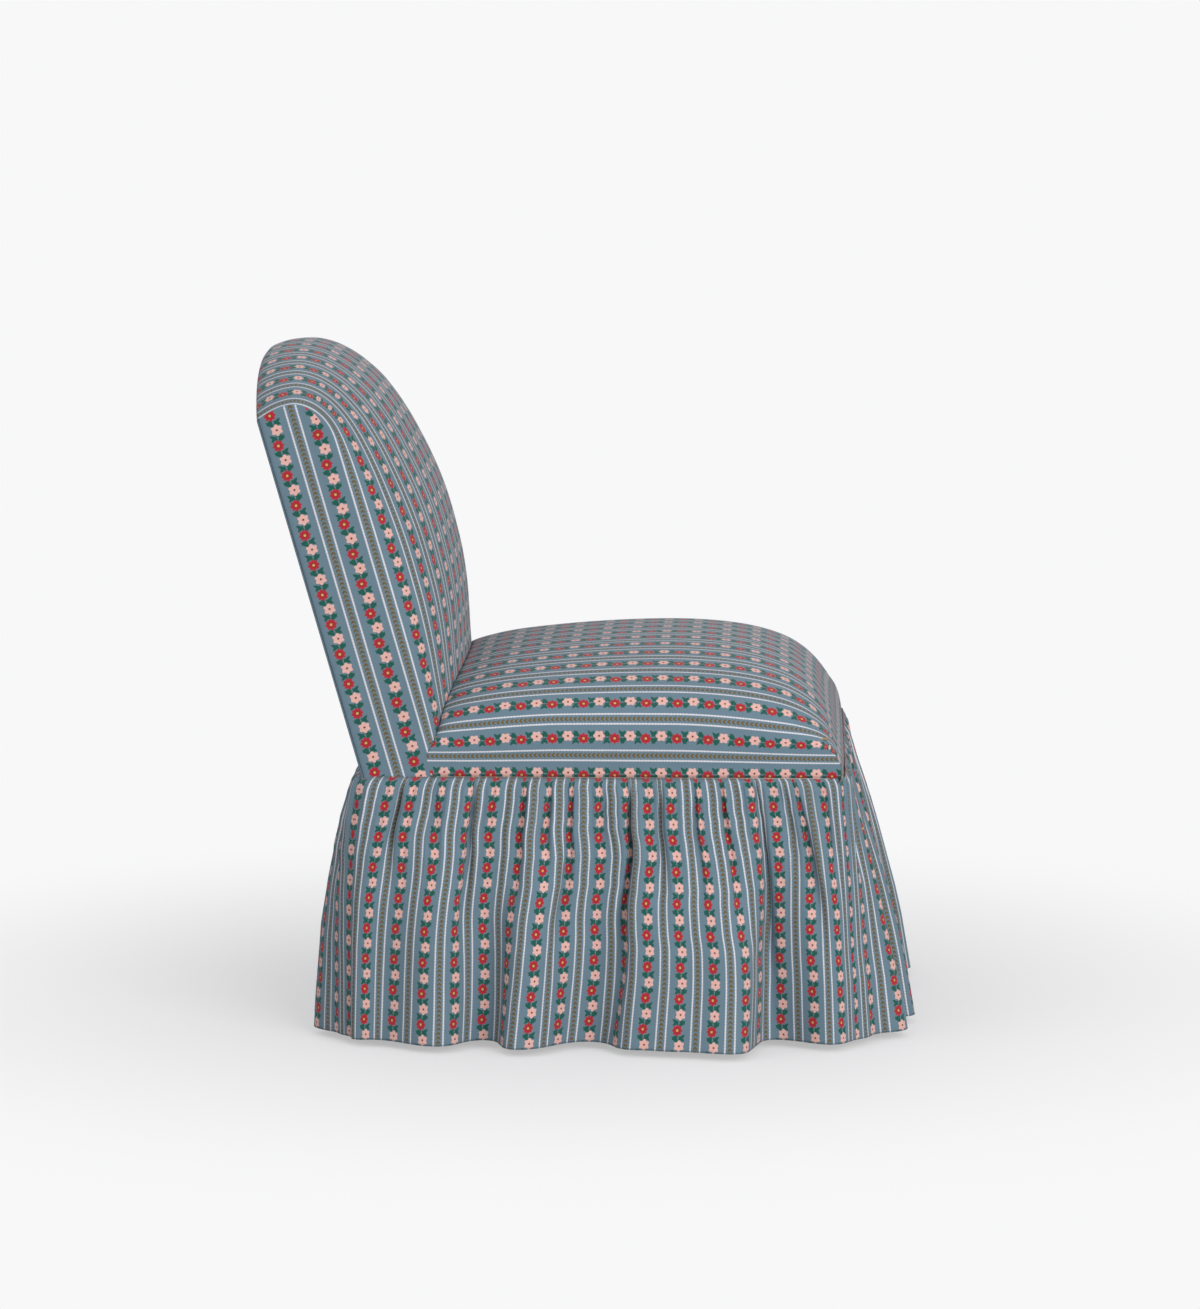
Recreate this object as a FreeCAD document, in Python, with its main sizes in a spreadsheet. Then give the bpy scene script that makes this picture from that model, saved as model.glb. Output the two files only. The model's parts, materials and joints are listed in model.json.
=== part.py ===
"""Slipper chair with a camel back, a tight seat and a gathered skirt.

Millimetres. +Z is up, the chair faces -Y and is symmetric about X = 0. The origin is on the floor,
in the middle of the chair's overall length and width.
"""
import FreeCAD, Part
import Sketcher
import math
import os
import re

Vector = FreeCAD.Vector
Placement = FreeCAD.Placement
Rotation = FreeCAD.Rotation

doc = FreeCAD.newDocument("slipper_chair")
sheet = doc.addObject("Spreadsheet::Sheet", "sizes")

# Driving sizes: name, value, what it measures
SIZES = (
    ("chair_width", 570, "seat and back over the covers, side to side"),
    ("seat_depth", 561, "front to rear at the skirt seam"),
    ("seam_height", 314, "floor to the skirt seam"),
    ("crown_rise", 138, "skirt seam to the top of the seat crown"),
    ("side_roll", 168, "how far in the seat is still rolling over at its sides"),
    ("front_roll", 152, "the same at the front"),
    ("rear_roll", 170, "the same towards the back rest"),
    ("seat_tail", 66, "rear seam forward to the hidden rear end of the seat"),
    ("seat_corner", 22, "corner radius of the seat"),
    ("lean", 16, "degrees that the back leans from upright"),
    ("back_height", 432, "along the lean, seam to the top corner of the back"),
    ("arch_rise", 54, "rise of the arched top over its corners"),
    ("top_crown", 6, "rise of the back's top between its rear and front edges"),
    ("back_thickness", 163, "most thickness of the back at its middle"),
    ("back_side", 101, "width of the flat side of the back"),
    ("back_corner", 42, "width of the rounded corner of the back"),
    ("cover", 1.5, "thickness of the woven cover"),
    ("batting", 5, "thickness of the wadding"),
    ("clearance", 0.3, "gap between soft layers"),
    ("fit", 0.15, "gap round a dowel, pin or bolt"),
    ("rail_bottom", 262, "floor to the underside of the seat rails"),
    ("rail_height", 90, "height of the seat rails"),
    ("rail_thickness", 25, "thickness of the seat rails"),
    ("front_setback", 12, "how far the front rail stands back for the lean of the seat's front"),
    ("rear_rail_gap", 2, "rear rail to the feet of the back posts"),
    ("block_leg", 90, "side of a corner block"),
    ("block_height", 45, "height of a corner block"),
    ("post_width", 45, "width of a back post"),
    ("post_depth", 28, "depth of the back frame's timber"),
    ("top_rail_drop", 77, "top corner down to the underside of the top rail"),
    ("lower_rail_level", 120, "along the lean, seam to the lower rail of the back"),
    ("lower_rail_height", 60, "height of the lower rail"),
    ("bottom_rail_height", 74, "height of the rail between the feet of the posts"),
    ("slat_width", 50, "width of the middle slat"),
    ("leg_inset", 46, "frame's outer face to the middle of a leg"),
    ("leg_top", 44, "width of a leg at the rail"),
    ("leg_foot", 28, "width of a leg at the glide"),
    ("leg_rake", 45, "how far back a rear leg stands at the floor"),
    ("glide_height", 5, "height of a glide's disc"),
    ("glide_radius", 11, "radius of a glide"),
    ("glide_pin", 3, "radius of a glide's pin"),
    ("glide_pin_length", 14, "length of a glide's pin"),
    ("bolt_radius", 4, "radius of the bolts"),
    ("leg_bolt_length", 72, "length of the bolt that holds a leg"),
    ("nut_radius", 8, "radius of the nuts and the bolt heads"),
    ("nut_height", 5.5, "height of the nuts and the bolt heads"),
    ("post_bolt_length", 88, "length of the bolt through a back post"),
    ("barrel_radius", 6, "radius of a barrel nut"),
    ("dowel_radius", 5, "radius of the dowels"),
    ("dowel_length", 36, "length of the dowels"),
    ("wire_radius", 2, "radius of the spring wire"),
    ("spring_loop", 8, "radius of a loop of the zigzag springs"),
    ("spring_width", 46, "width of a spring over its loops"),
    ("spring_pitch", 96, "distance between springs"),
    ("spring_end", 14, "rail's outer face to the end run of a spring"),
    ("clip_width", 14, "width of a spring clip"),
    ("clip_metal", 1, "thickness of a spring clip"),
    ("tie_radius", 1.25, "radius of the tie wires"),
    ("tie_spread", 150, "distance between the two tie wires"),
    ("deck", 1, "thickness of the burlap"),
    ("web_width", 50, "width of the webbing"),
    ("web", 1.5, "thickness of the webbing"),
    ("strip", 1, "thickness of the tacking strips"),
    ("strip_width", 12, "width of the tacking strips"),
    ("dust_cloth", 1, "thickness of the dust cover"),
    ("skirt_cloth", 2.6, "thickness of the skirt with its turned hem"),
    ("lining_cloth", 1.5, "thickness of the skirt's lining"),
    ("lining_gap", 0.7, "gap between the skirt and its lining"),
    ("lining_lift", 14, "how much shorter the lining hangs"),
    ("hem_height", 7, "floor to the hem"),
    ("skirt_flare", 55, "how far the hem stands out from the seam, between crests and troughs"),
    ("corner_drop", 28, "how much less the hem stands out at its corners"),
    ("side_folds", 72, "highest crest of a side's hem over the corners"),
    ("front_folds", 56, "highest crest of the front's hem over the corners"),
    ("rear_folds", 38, "highest crest of the rear's hem over the corners"),
)

# Sizes that follow from the driving ones
DERIVED = {
    "half_width": "chair_width / 2",
    "layers": "cover + batting + 2 * clearance",
    "frame_half": "half_width - layers",
    "back_top": "back_height + arch_rise",
    "skirt_start": "clearance + strip + clearance + lining_cloth + lining_gap",
    "skirt_reach": "skirt_start + skirt_cloth + skirt_flare - corner_drop + front_folds",
    "rear_seam": "(seat_depth + skirt_reach - back_top * sin(lean)) / 2",
    "front_seam": "rear_seam - seat_depth",
    "front_face": "front_seam + layers + front_setback",
    "front_inner": "front_face + rail_thickness",
    "post_front_low": "rear_seam - frame_front / cos(lean) + (rail_bottom - seam_height) * tan(lean)",
    "post_front_high": "rear_seam - frame_front / cos(lean) + (rail_top - seam_height) * tan(lean)",
    "rear_rail_front": "post_front_low - rear_rail_gap - rail_thickness",
    "side_inner": "frame_half - rail_thickness",
    "rail_top": "rail_bottom + rail_height",
    "rail_middle": "rail_bottom + rail_height / 2",
    "frame_rear": "cover + strip + 2 * clearance",
    "frame_front": "frame_rear + post_depth",
    "back_foot": "(rail_bottom - seam_height) / cos(lean) - back_thickness * sin(lean)",
    "post_foot": "(rail_bottom - seam_height - frame_front * sin(lean)) / cos(lean) + 9",
    "post_top": "back_height - top_rail_drop",
    "post_inner": "frame_half - post_width",
    "top_rail_edge": "back_height - layers",
    "top_rail_crown": "back_top - layers",
    "slat_top": "top_rail_crown - top_rail_drop",
    "lower_rail_top": "lower_rail_level + lower_rail_height",
    "web_one": "frame_front + clearance + web",
    "web_two": "web_one + clearance + web",
    "back_cloth": "web_two + clearance + deck",
    "foam_rear": "back_cloth + clearance",
    "wire_level": "rail_top + clip_metal + fit + wire_radius",
    "clip_top": "wire_level + wire_radius + fit + clip_metal",
    "deck_top": "clip_top + clearance + deck",
    "leg_x": "frame_half - leg_inset",
    "front_leg_y": "front_face + leg_inset",
    "rear_leg_y": "rear_rail_front - leg_inset + rail_thickness",
    "leg_height": "rail_bottom - glide_height",
    "spring_first": "front_face + spring_end",
    "spring_last": "rear_rail_front + rail_thickness - spring_end",
}
NAMES = {name for name, _value, _note in SIZES}
WORD = re.compile(r"[a-z]+(?:_[a-z]+)*")


def formula(text):
    """Write a sum of size names as an expression on the sheet."""
    def swap(match):
        word = match.group(0)
        if word in DERIVED:
            return "(" + formula(DERIVED[word]) + ")"
        if word in NAMES:
            return "sizes." + word
        return word
    return WORD.sub(swap, text)


def number(text):
    """The value of a sum of size names."""
    return float(sheet.evalExpression(formula(text)))


def fill_sheet():
    for row, (name, value, note) in enumerate(SIZES, 1):
        sheet.set(f"A{row}", note)
        sheet.set(f"B{row}", str(value))
        sheet.setAlias(f"B{row}", name)
    doc.recompute()


fill_sheet()

UPRIGHT = Placement()
# The back's own frame: x to the side, y rearward across it, z up along its lean
LEANING = Placement(Vector(0, number("rear_seam"), number("seam_height")),
                    Rotation(Vector(1, 0, 0), -number("lean")))
ALONG_X = Rotation(Vector(0, 1, 0), 90)
ALONG_Y = Rotation(Vector(1, 0, 0), -90)
ALONG_Z = Rotation()
NODES = []


def node(item, label):
    """Name a finished sub-part."""
    item.Label = label
    NODES.append(item)
    return item


def bind(item, **sums):
    for name, text in sums.items():
        item.setExpression(name, formula(text))
    return item


def point(x, y, z):
    return Vector(number(x), number(y), number(z))


def box(name, size, corner, frame=UPRIGHT):
    """A block given by its sizes and its lowest corner."""
    item = doc.addObject("Part::Box", name)
    bind(item, Length=size[0], Width=size[1], Height=size[2])
    item.Placement = frame.multiply(Placement(point(*corner), Rotation()))
    return item


def rod(name, radius, length, middle, direction, frame=UPRIGHT):
    """A round bar given by the middle of its length."""
    item = doc.addObject("Part::Cylinder", name)
    bind(item, Radius=radius, Height=length)
    start = middle - direction.multVec(Vector(0, 0, number(length) / 2))
    item.Placement = frame.multiply(Placement(start, direction))
    return item


def group(name, items):
    item = doc.addObject("Part::Compound", name)
    item.Links = items
    return item


def cut(name, base, tools):
    item = doc.addObject("Part::Cut", name)
    item.Base = base
    item.Tool = tools[0] if len(tools) == 1 else group(name + "_tools", tools)
    return item


def shaped(name, shape):
    """A soft form that only code can shape."""
    item = doc.addObject("Part::Feature", name)
    item.Shape = shape
    return item


def outline(body, role, corners, name):
    """A sketch of straight edges whose corners are bound to the sheet."""
    sketch = body.newObject("Sketcher::SketchObject", name)
    plane = [part for part in body.Origin.OriginFeatures if part.Role == role][0]
    sketch.AttachmentSupport = (plane, [""])
    sketch.MapMode = "FlatFace"
    spots = [Vector(number(x), number(y), 0) for x, y in corners]
    count = len(spots)
    for index in range(count):
        sketch.addGeometry(Part.LineSegment(spots[index], spots[(index + 1) % count]))
    for index in range(count):
        sketch.addConstraint(Sketcher.Constraint("Coincident", index, 2, (index + 1) % count, 1))
    for index, (x, y) in enumerate(corners):
        for kind, text, value in (("DistanceX", x, spots[index].x), ("DistanceY", y, spots[index].y)):
            place = sketch.addConstraint(Sketcher.Constraint(kind, -1, 1, index, 1, value))
            sketch.setExpression(f"Constraints[{place}]", formula(text))
    return sketch


def padded_body(name, role, corners, length, frame=UPRIGHT, both_ways=False):
    """A body padded from an outline of straight edges."""
    body = doc.addObject("PartDesign::Body", name)
    sketch = outline(body, role, corners, name + "_outline")
    pad = body.newObject("PartDesign::Pad", name + "_pad")
    pad.Profile = sketch
    pad.Midplane = both_ways
    pad.setExpression("Length", formula(length))
    body.Tip = pad
    body.Placement = frame
    return body


def turned_body(name, corners, frame=UPRIGHT):
    """A body turned round Z from half its section."""
    body = doc.addObject("PartDesign::Body", name)
    sketch = outline(body, "XZ_Plane", corners, name + "_section")
    turn = body.newObject("PartDesign::Revolution", name + "_turn")
    turn.Profile = sketch
    turn.ReferenceAxis = (sketch, ["V_Axis"])
    turn.Angle = 360
    body.Tip = turn
    body.Placement = frame
    return body


# Soft forms

# Levels of the seat: share of the crown's rise, then of the side, front and rear rolls
SEAT_LEVELS = (
    (0.00, 0.00, 0.00, 0.00),
    (0.32, 0.00, 0.07, 0.00),
    (0.47, 0.04, 0.11, 0.00),
    (0.60, 0.10, 0.17, 0.02),
    (0.71, 0.20, 0.23, 0.07),
    (0.80, 0.32, 0.31, 0.15),
    (0.87, 0.47, 0.43, 0.30),
    (0.93, 0.64, 0.60, 0.52),
    (0.97, 0.83, 0.81, 0.78),
    (1.00, 1.00, 1.00, 1.00),
)
# Levels of the back: share of its top, then of its thickness and of its side's width. The first
# one stands for the foot, which lies below the rails whatever their level.
BACK_LEVELS = (
    (-0.19, 0.66, 0.72),
    (0.00, 0.72, 0.76),
    (0.25, 0.92, 0.93),
    (0.50, 1.00, 1.00),
    (0.71, 0.94, 0.92),
    (0.86, 0.78, 0.68),
    (0.95, 0.57, 0.44),
    (1.03, 0.24, 0.12),
)
# Levels of the arched top from rear to front: share of the back's thickness, then how far the
# corners and the middle stand over the rear edge, in crowns of the top
TOP_LEVELS = (
    (-0.10, 0.0, 0.0),
    (0.00, 0.0, 0.0),
    (0.27, 0.2, 1.0),
    (0.50, -1.0, -0.6),
    (0.75, -4.0, -6.0),
    (1.10, -11.0, -16.0),
)
CORNER_SHARE = 0.56     # of the crown over the back's side, reached at the end of its corner
CORNER_LIMIT = 0.45     # of a level's depth, the most that its corner radius may be
CORNER_GROWTH = 0.3     # of the roll, added to the seat's corner radius


def rounded_wire(half, front, rear, radius, level):
    """A level rectangle with rounded corners, from its left front corner on."""
    turn = radius * (1 - math.sqrt(0.5))
    corners = (
        (-half + radius, front, -half + turn, front + turn, -half, front + radius),
        (-half, rear - radius, -half + turn, rear - turn, -half + radius, rear),
        (half - radius, rear, half - turn, rear - turn, half, rear - radius),
        (half, front + radius, half - turn, front + turn, half - radius, front),
    )
    edges = []
    for index, (x1, y1, x2, y2, x3, y3) in enumerate(corners):
        after = corners[(index + 1) % 4]
        arc = Part.Arc(Vector(x1, y1, level), Vector(x2, y2, level), Vector(x3, y3, level))
        edges.append(arc.toShape())
        edges.append(Part.makeLine(Vector(x3, y3, level), Vector(after[0], after[1], level)))
    return Part.Wire(edges)


def seat_row(level):
    """Shares of the three rolls at a level, between the rows of the table."""
    for low, high in zip(SEAT_LEVELS, SEAT_LEVELS[1:]):
        if level <= high[0]:
            share = max(0.0, (level - low[0]) / (high[0] - low[0]))
            return (level,) + tuple(a + share * (b - a) for a, b in zip(low[1:], high[1:]))
    return SEAT_LEVELS[-1]


def seat_form(inset, bottom):
    """The crowned seat, drawn in by an inset all over, down to a level."""
    rise = number("crown_rise")
    foot = (number(bottom) - number("seam_height")) / rise
    shares = [seat_row(foot)] + [row for row in SEAT_LEVELS if row[0] > foot + 0.05]
    rows = [(up * rise, side * number("side_roll"), front * number("front_roll"),
             rear * number("rear_roll")) for up, side, front, rear in shares]
    wires = []
    for index, (up, side, front, rear) in enumerate(rows):
        before = rows[max(index - 1, 0)]
        after = rows[min(index + 1, len(rows) - 1)]
        run = math.hypot(after[1] - before[1], after[0] - before[0])
        outward = (after[0] - before[0]) / run
        upward = 0.0 if index == 0 else (after[1] - before[1]) / run
        front_end = number("front_seam") + front + inset * outward
        rear_end = number("rear_seam - seat_tail") - rear - inset * outward
        radius = number("seat_corner") + CORNER_GROWTH * side - inset * outward
        wires.append(rounded_wire(
            number("half_width") - side - inset * outward, front_end, rear_end,
            min(radius, CORNER_LIMIT * (rear_end - front_end)),
            number("seam_height") + up - inset * upward))
    return Part.makeLoft(wires, True, True)


def back_section(inset, rear, level, thickness, side):
    """One section across the back: flat rear and sides, rounded corners, crowned front."""
    half = number("half_width") - inset
    reach = number("back_corner")
    crown = CORNER_SHARE * (thickness - side)
    knee = (half - 0.3 * reach + 0.3 * inset, side + 0.65 * crown - 0.7 * inset)
    ledge = (half - reach, side + crown - inset)
    side_depth = side - 0.4 * inset

    def spot(x, depth):
        return Vector(x, -depth, level)
    edges = (
        Part.makeLine(spot(half, -rear), spot(half, side_depth)),
        Part.Arc(spot(half, side_depth), spot(*knee), spot(*ledge)).toShape(),
        Part.Arc(spot(*ledge), spot(0, thickness - inset), spot(-ledge[0], ledge[1])).toShape(),
        Part.Arc(spot(-ledge[0], ledge[1]), spot(-knee[0], knee[1]),
                 spot(-half, side_depth)).toShape(),
        Part.makeLine(spot(-half, side_depth), spot(-half, -rear)),
        Part.makeLine(spot(-half, -rear), spot(half, -rear)),
    )
    return Part.Wire(edges)


def arch_wire(inset, y, foot, corner_lift=0.0, middle_lift=0.0):
    """The outline of the back seen square on, with its arched top."""
    half = number("half_width") - inset
    corner = number("back_height") - inset + corner_lift
    middle = number("back_top") - inset + middle_lift
    edges = (
        Part.makeLine(Vector(-half, y, foot), Vector(half, y, foot)),
        Part.makeLine(Vector(half, y, foot), Vector(half, y, corner)),
        Part.Arc(Vector(half, y, corner), Vector(0, y, middle), Vector(-half, y, corner)).toShape(),
        Part.makeLine(Vector(-half, y, corner), Vector(-half, y, foot)),
    )
    return Part.Wire(edges)


def top_form(inset):
    """A block as wide as the back, under its arched and crowned top."""
    foot = number("2 * back_foot")
    crown = number("top_crown")
    wires = [arch_wire(inset, -share * number("back_thickness"), foot, corner * crown,
                       middle * crown)
             for share, corner, middle in TOP_LEVELS]
    return Part.makeLoft(wires, True, False)


def big_box(low, high):
    return Part.makeBox(high.x - low.x, high.y - low.y, high.z - low.z, low)


def above(shape, level):
    """What lies above a level."""
    span = number("seat_depth + back_top")
    return shape.common(big_box(Vector(-span, -span, level), Vector(span, span, level + 2 * span)))


def back_form(inset, rear, bottom="rail_bottom"):
    """The crowned back in place, drawn in by an inset, from a level up to its arched top."""
    top = number("back_top")
    wires = [back_section(inset, rear, share * top if share >= 0 else number("back_foot"),
                          thick * number("back_thickness"), side * number("back_side"))
             for share, thick, side in BACK_LEVELS]
    blank = Part.makeLoft(wires, True, False)
    form = blank.common(top_form(inset))
    form.Placement = LEANING
    return above(form, number(bottom))


def passage():
    """The space behind the springs' middle where rails and deck run on under the back."""
    half = number("frame_half + clearance")
    return big_box(Vector(-half, 0, 0),
                   Vector(half, number("rear_seam"), number("deck_top + clearance")))


def one_solid(shape):
    """The largest solid of a cut, without its slivers."""
    return max(shape.Solids, key=lambda solid: solid.Volume)


def seat_cushioning():
    """Foam, wadding and cover of the seat, each clear of the back."""
    cover = number("cover")
    gap = number("clearance")
    layers = number("layers")
    back = back_form(-gap, gap, "rail_bottom - rail_height").fuse(passage())
    shell = seat_form(0, "rail_bottom").cut(seat_form(cover, "rail_bottom - cover"))
    node(shaped("seat_cover", one_solid(shell.cut(back))), "seat_cover")
    wadding = seat_form(cover + gap, "rail_bottom")
    wadding = wadding.cut(seat_form(layers - gap, "rail_bottom - cover"))
    node(shaped("seat_batting", one_solid(wadding.cut(back))), "seat_batting")
    foam = seat_form(layers, "deck_top + clearance")
    node(shaped("seat_foam", one_solid(foam.cut(back))), "seat_foam")


def back_cushioning():
    """Foam, wadding and cover of the back."""
    cover = number("cover")
    gap = number("clearance")
    layers = number("layers")
    rear = -(cover + gap)
    shell = back_form(0, rear).cut(back_form(cover, cover, "rail_bottom - cover"))
    node(shaped("inside_back_cover", one_solid(shell.cut(passage()))), "inside_back_cover")
    wadding = back_form(cover + gap, rear)
    wadding = wadding.cut(back_form(layers - gap, cover, "rail_bottom - cover"))
    node(shaped("back_batting", one_solid(wadding.cut(passage()))), "back_batting")
    foam = back_form(layers, -number("foam_rear"))
    node(shaped("back_foam", one_solid(foam.cut(passage()))), "back_foam")
    panel = Part.Face(arch_wire(0, 0, 2 * number("post_foot")))
    panel = panel.extrude(Vector(0, -cover, 0))
    panel.Placement = LEANING
    panel = above(panel, number("rail_bottom"))
    node(shaped("outside_back_cover", one_solid(panel)), "outside_back_cover")


# Timber frame

def joint_levels():
    """Heights of the two dowels in each joint of the seat rails."""
    return ("rail_middle - rail_height / 4", "rail_middle + rail_height / 4")


def dowel_spots():
    """Middle and direction of each dowel of the seat frame."""
    spots = []
    for level in joint_levels():
        for side in ("-", ""):
            across = side + "(frame_half - rail_thickness / 2)"
            spots.append((point(across, "front_inner", level), ALONG_Y))
            spots.append((point(side + "side_inner", "rear_rail_front + rail_thickness / 2", level),
                          ALONG_X))
    return spots


def back_dowel_spots():
    """Middle and direction of each dowel of the back frame, in its own frame."""
    depth = "-(frame_front + frame_rear) / 2"
    spots = []
    for side in ("-", ""):
        for foot, height in (("post_foot", "bottom_rail_height"),
                             ("lower_rail_level", "lower_rail_height")):
            for share in ("0.25", "0.75"):
                level = foot + " + " + share + " * " + height
                spots.append((point(side + "post_inner", depth, level), ALONG_X))
        for share in ("0.25", "0.75"):
            across = side + "(post_inner + " + share + " * post_width)"
            spots.append((point(across, depth, "post_top"), ALONG_Z))
    for level in ("lower_rail_top", "slat_top"):
        spots.append((point("0", depth, level), ALONG_Z))
    return spots


def dowels(name, spots, frame):
    pins = [rod(f"{name}_{index}", "dowel_radius", "dowel_length", spot, direction, frame)
            for index, (spot, direction) in enumerate(spots)]
    node(group(name, pins), name)


def dowel_holes(name, spots, frame):
    return [rod(f"{name}_hole_{index}", "dowel_radius + fit", "dowel_length + 2 * fit", spot,
                direction, frame)
            for index, (spot, direction) in enumerate(spots)]


def bolt_levels():
    """Places along the lean of the two bolts that hold each post to its side rail."""
    return ("post_foot + 0.27 * bottom_rail_height", "post_foot + 0.51 * bottom_rail_height")


def post_bolt_middle(side, level):
    across = side + "(frame_half - rail_thickness / 2)"
    head = "-(frame_rear + clearance + nut_height)"
    return point(across, head + " - post_bolt_length / 2", level)


def barrel_middle(side, level):
    across = side + "(frame_half - rail_thickness / 2)"
    tip = "-(frame_rear + clearance + nut_height + post_bolt_length)"
    return point(across, tip + " + 3 * barrel_radius", level)


def bolt_holes(name, kind):
    """Holes in the posts and side rails for the back's bolts."""
    holes = []
    for side in ("-", ""):
        for index, level in enumerate(bolt_levels()):
            tag = f"{name}_{len(holes)}_{index}"
            holes.append(rod(tag, "bolt_radius + fit", "post_bolt_length + 2 * fit",
                             post_bolt_middle(side, level), ALONG_Y, LEANING))
            if kind == "post":
                seat = post_bolt_middle(side, level)
                seat.y = -number("frame_rear + nut_height / 2")
                holes.append(rod(tag + "_seat", "nut_radius + fit",
                                 "nut_height + 2 * clearance", seat, ALONG_Y, LEANING))
            else:
                holes.append(rod(tag + "_nut", "barrel_radius + fit", "2 * rail_thickness",
                                 barrel_middle(side, level), ALONG_X, LEANING))
    return holes


def seat_rails():
    spots = dowel_spots()
    front = box("front_blank", ("2 * frame_half", "rail_thickness", "rail_height"),
                ("-frame_half", "front_face", "rail_bottom"))
    node(cut("front_rail", front, dowel_holes("front", spots, UPRIGHT)), "front_rail")
    rear = box("rear_blank", ("2 * side_inner", "rail_thickness", "rail_height"),
               ("-side_inner", "rear_rail_front", "rail_bottom"))
    node(cut("rear_rail", rear, dowel_holes("rear", spots, UPRIGHT)), "rear_rail")
    # A side rail is cut to the lean of the post that it meets
    corners = (("front_inner", "rail_bottom"), ("post_front_low", "rail_bottom"),
               ("post_front_high", "rail_top"), ("front_inner", "rail_top"))
    for label, place in (("left_rail", "-frame_half"), ("right_rail", "side_inner")):
        frame = Placement(Vector(number(place), 0, 0), Rotation())
        blank = padded_body(label + "_blank", "YZ_Plane", corners, "rail_thickness", frame)
        holes = dowel_holes(label, spots, UPRIGHT) + bolt_holes(label, "rail")
        node(cut(label, blank, holes), label)
    dowels("seat_dowels", spots, UPRIGHT)


def corner_blocks():
    for row, y, way in (("front", "front_inner", ""), ("rear", "rear_rail_front", "-")):
        for side, x, turn in (("left", "-side_inner", ""), ("right", "side_inner", "-")):
            corners = ((x, y), (x + " + " + turn + "(block_leg)", y),
                       (x, y + " + " + way + "(block_leg)"))
            corners = [(a.replace("+ -", "- "), b.replace("+ -", "- ")) for a, b in corners]
            label = f"corner_block_{row}_{side}"
            frame = Placement(Vector(0, 0, number("rail_bottom")), Rotation())
            blank = padded_body(label + "_blank", "XY_Plane", corners, "block_height", frame)
            hole = rod(label + "_hole", "bolt_radius + fit", "2 * block_height",
                       leg_middle(row, side), ALONG_Z)
            node(cut(label, blank, [hole]), label)


def leg_middle(row, side):
    return point("-leg_x" if side == "left" else "leg_x", row + "_leg_y", "rail_bottom")


LEG_SPOTS = [(row, side) for row in ("front", "rear") for side in ("left", "right")]


def legs():
    """Tapered legs; the rear pair is raked."""
    for row, side in LEG_SPOTS:
        label = f"leg_{row}_{side}"
        shift = number("leg_rake") if row == "rear" else 0.0
        blank = doc.addObject("Part::Wedge", label + "_blank")
        half_top = number("leg_top / 2")
        half_foot = number("leg_foot / 2")
        bind(blank, Xmin="-leg_top / 2", Xmax="leg_top / 2", Ymax="leg_height",
             X2min="-leg_foot / 2", X2max="leg_foot / 2")
        blank.Ymin = 0
        blank.Zmin = -half_top
        blank.Zmax = half_top
        blank.Z2min = shift - half_foot
        blank.Z2max = shift + half_foot
        middle = leg_middle(row, side)
        blank.Placement = Placement(middle, ALONG_Y)
        bore = rod(label + "_bore", "bolt_radius + fit", "leg_bolt_length", middle, ALONG_Z)
        foot = middle + Vector(0, shift, -number("leg_height"))
        socket = rod(label + "_socket", "glide_pin + fit", "2 * glide_pin_length + 2 * fit",
                     foot, ALONG_Z)
        node(cut(label, blank, [bore, socket]), label)
        edge = "glide_radius - glide_height / 3"
        section = (("0", "0"), (edge, "0"), ("glide_radius", "glide_height / 3"),
                   ("glide_radius", "glide_height"), ("glide_pin", "glide_height"),
                   ("glide_pin", "glide_height + glide_pin_length"),
                   ("0", "glide_height + glide_pin_length"))
        spot = Placement(Vector(foot.x, foot.y, 0), Rotation())
        node(turned_body(f"leg_glide_{row}_{side}", section, spot), f"leg_glide_{row}_{side}")


def leg_hardware():
    """Hanger bolts through the corner blocks, each with its nut and washer above."""
    bolts = []
    nuts = []
    for row, side in LEG_SPOTS:
        middle = leg_middle(row, side)
        middle.z += number("block_height + nut_height + clearance - leg_bolt_length / 2")
        middle.z += number("clearance")
        bolts.append(rod(f"leg_bolt_{row}_{side}", "bolt_radius", "leg_bolt_length", middle,
                         ALONG_Z))
        frame = Placement(leg_middle(row, side), Rotation())
        frame.Base.z += number("block_height")
        section = (("bolt_radius + fit", "0"), ("nut_radius", "0"), ("nut_radius", "nut_height"),
                   ("bolt_radius + fit", "nut_height"))
        nuts.append(turned_body(f"leg_nut_{row}_{side}", section, frame))
    node(group("leg_bolts", bolts), "leg_bolts")
    node(group("leg_nuts", nuts), "leg_nuts")


def back_frame():
    spots = back_dowel_spots()
    depth = "-frame_front"
    length = "post_top - (post_foot)"
    for label, corner in (("left_back_post", "-frame_half"), ("right_back_post", "post_inner")):
        blank = box(label + "_blank", ("post_width", "post_depth", length),
                    (corner, depth, "post_foot"), LEANING)
        holes = dowel_holes(label, spots, LEANING) + bolt_holes(label, "post")
        node(cut(label, blank, holes), label)
    for label, foot, height in (("back_bottom_rail", "post_foot", "bottom_rail_height"),
                                ("back_lower_rail", "lower_rail_level", "lower_rail_height")):
        blank = box(label + "_blank", ("2 * post_inner", "post_depth", height),
                    ("-post_inner", depth, foot), LEANING)
        node(cut(label, blank, dowel_holes(label, spots, LEANING)), label)
    slat = box("slat_blank", ("slat_width", "post_depth", "slat_top - lower_rail_top - 2 * fit"),
               ("-slat_width / 2", depth, "lower_rail_top"), LEANING)
    node(cut("back_slat", slat, dowel_holes("slat", spots, LEANING)), "back_slat")
    top_rail(spots)
    dowels("back_dowels", spots, LEANING)


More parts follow.
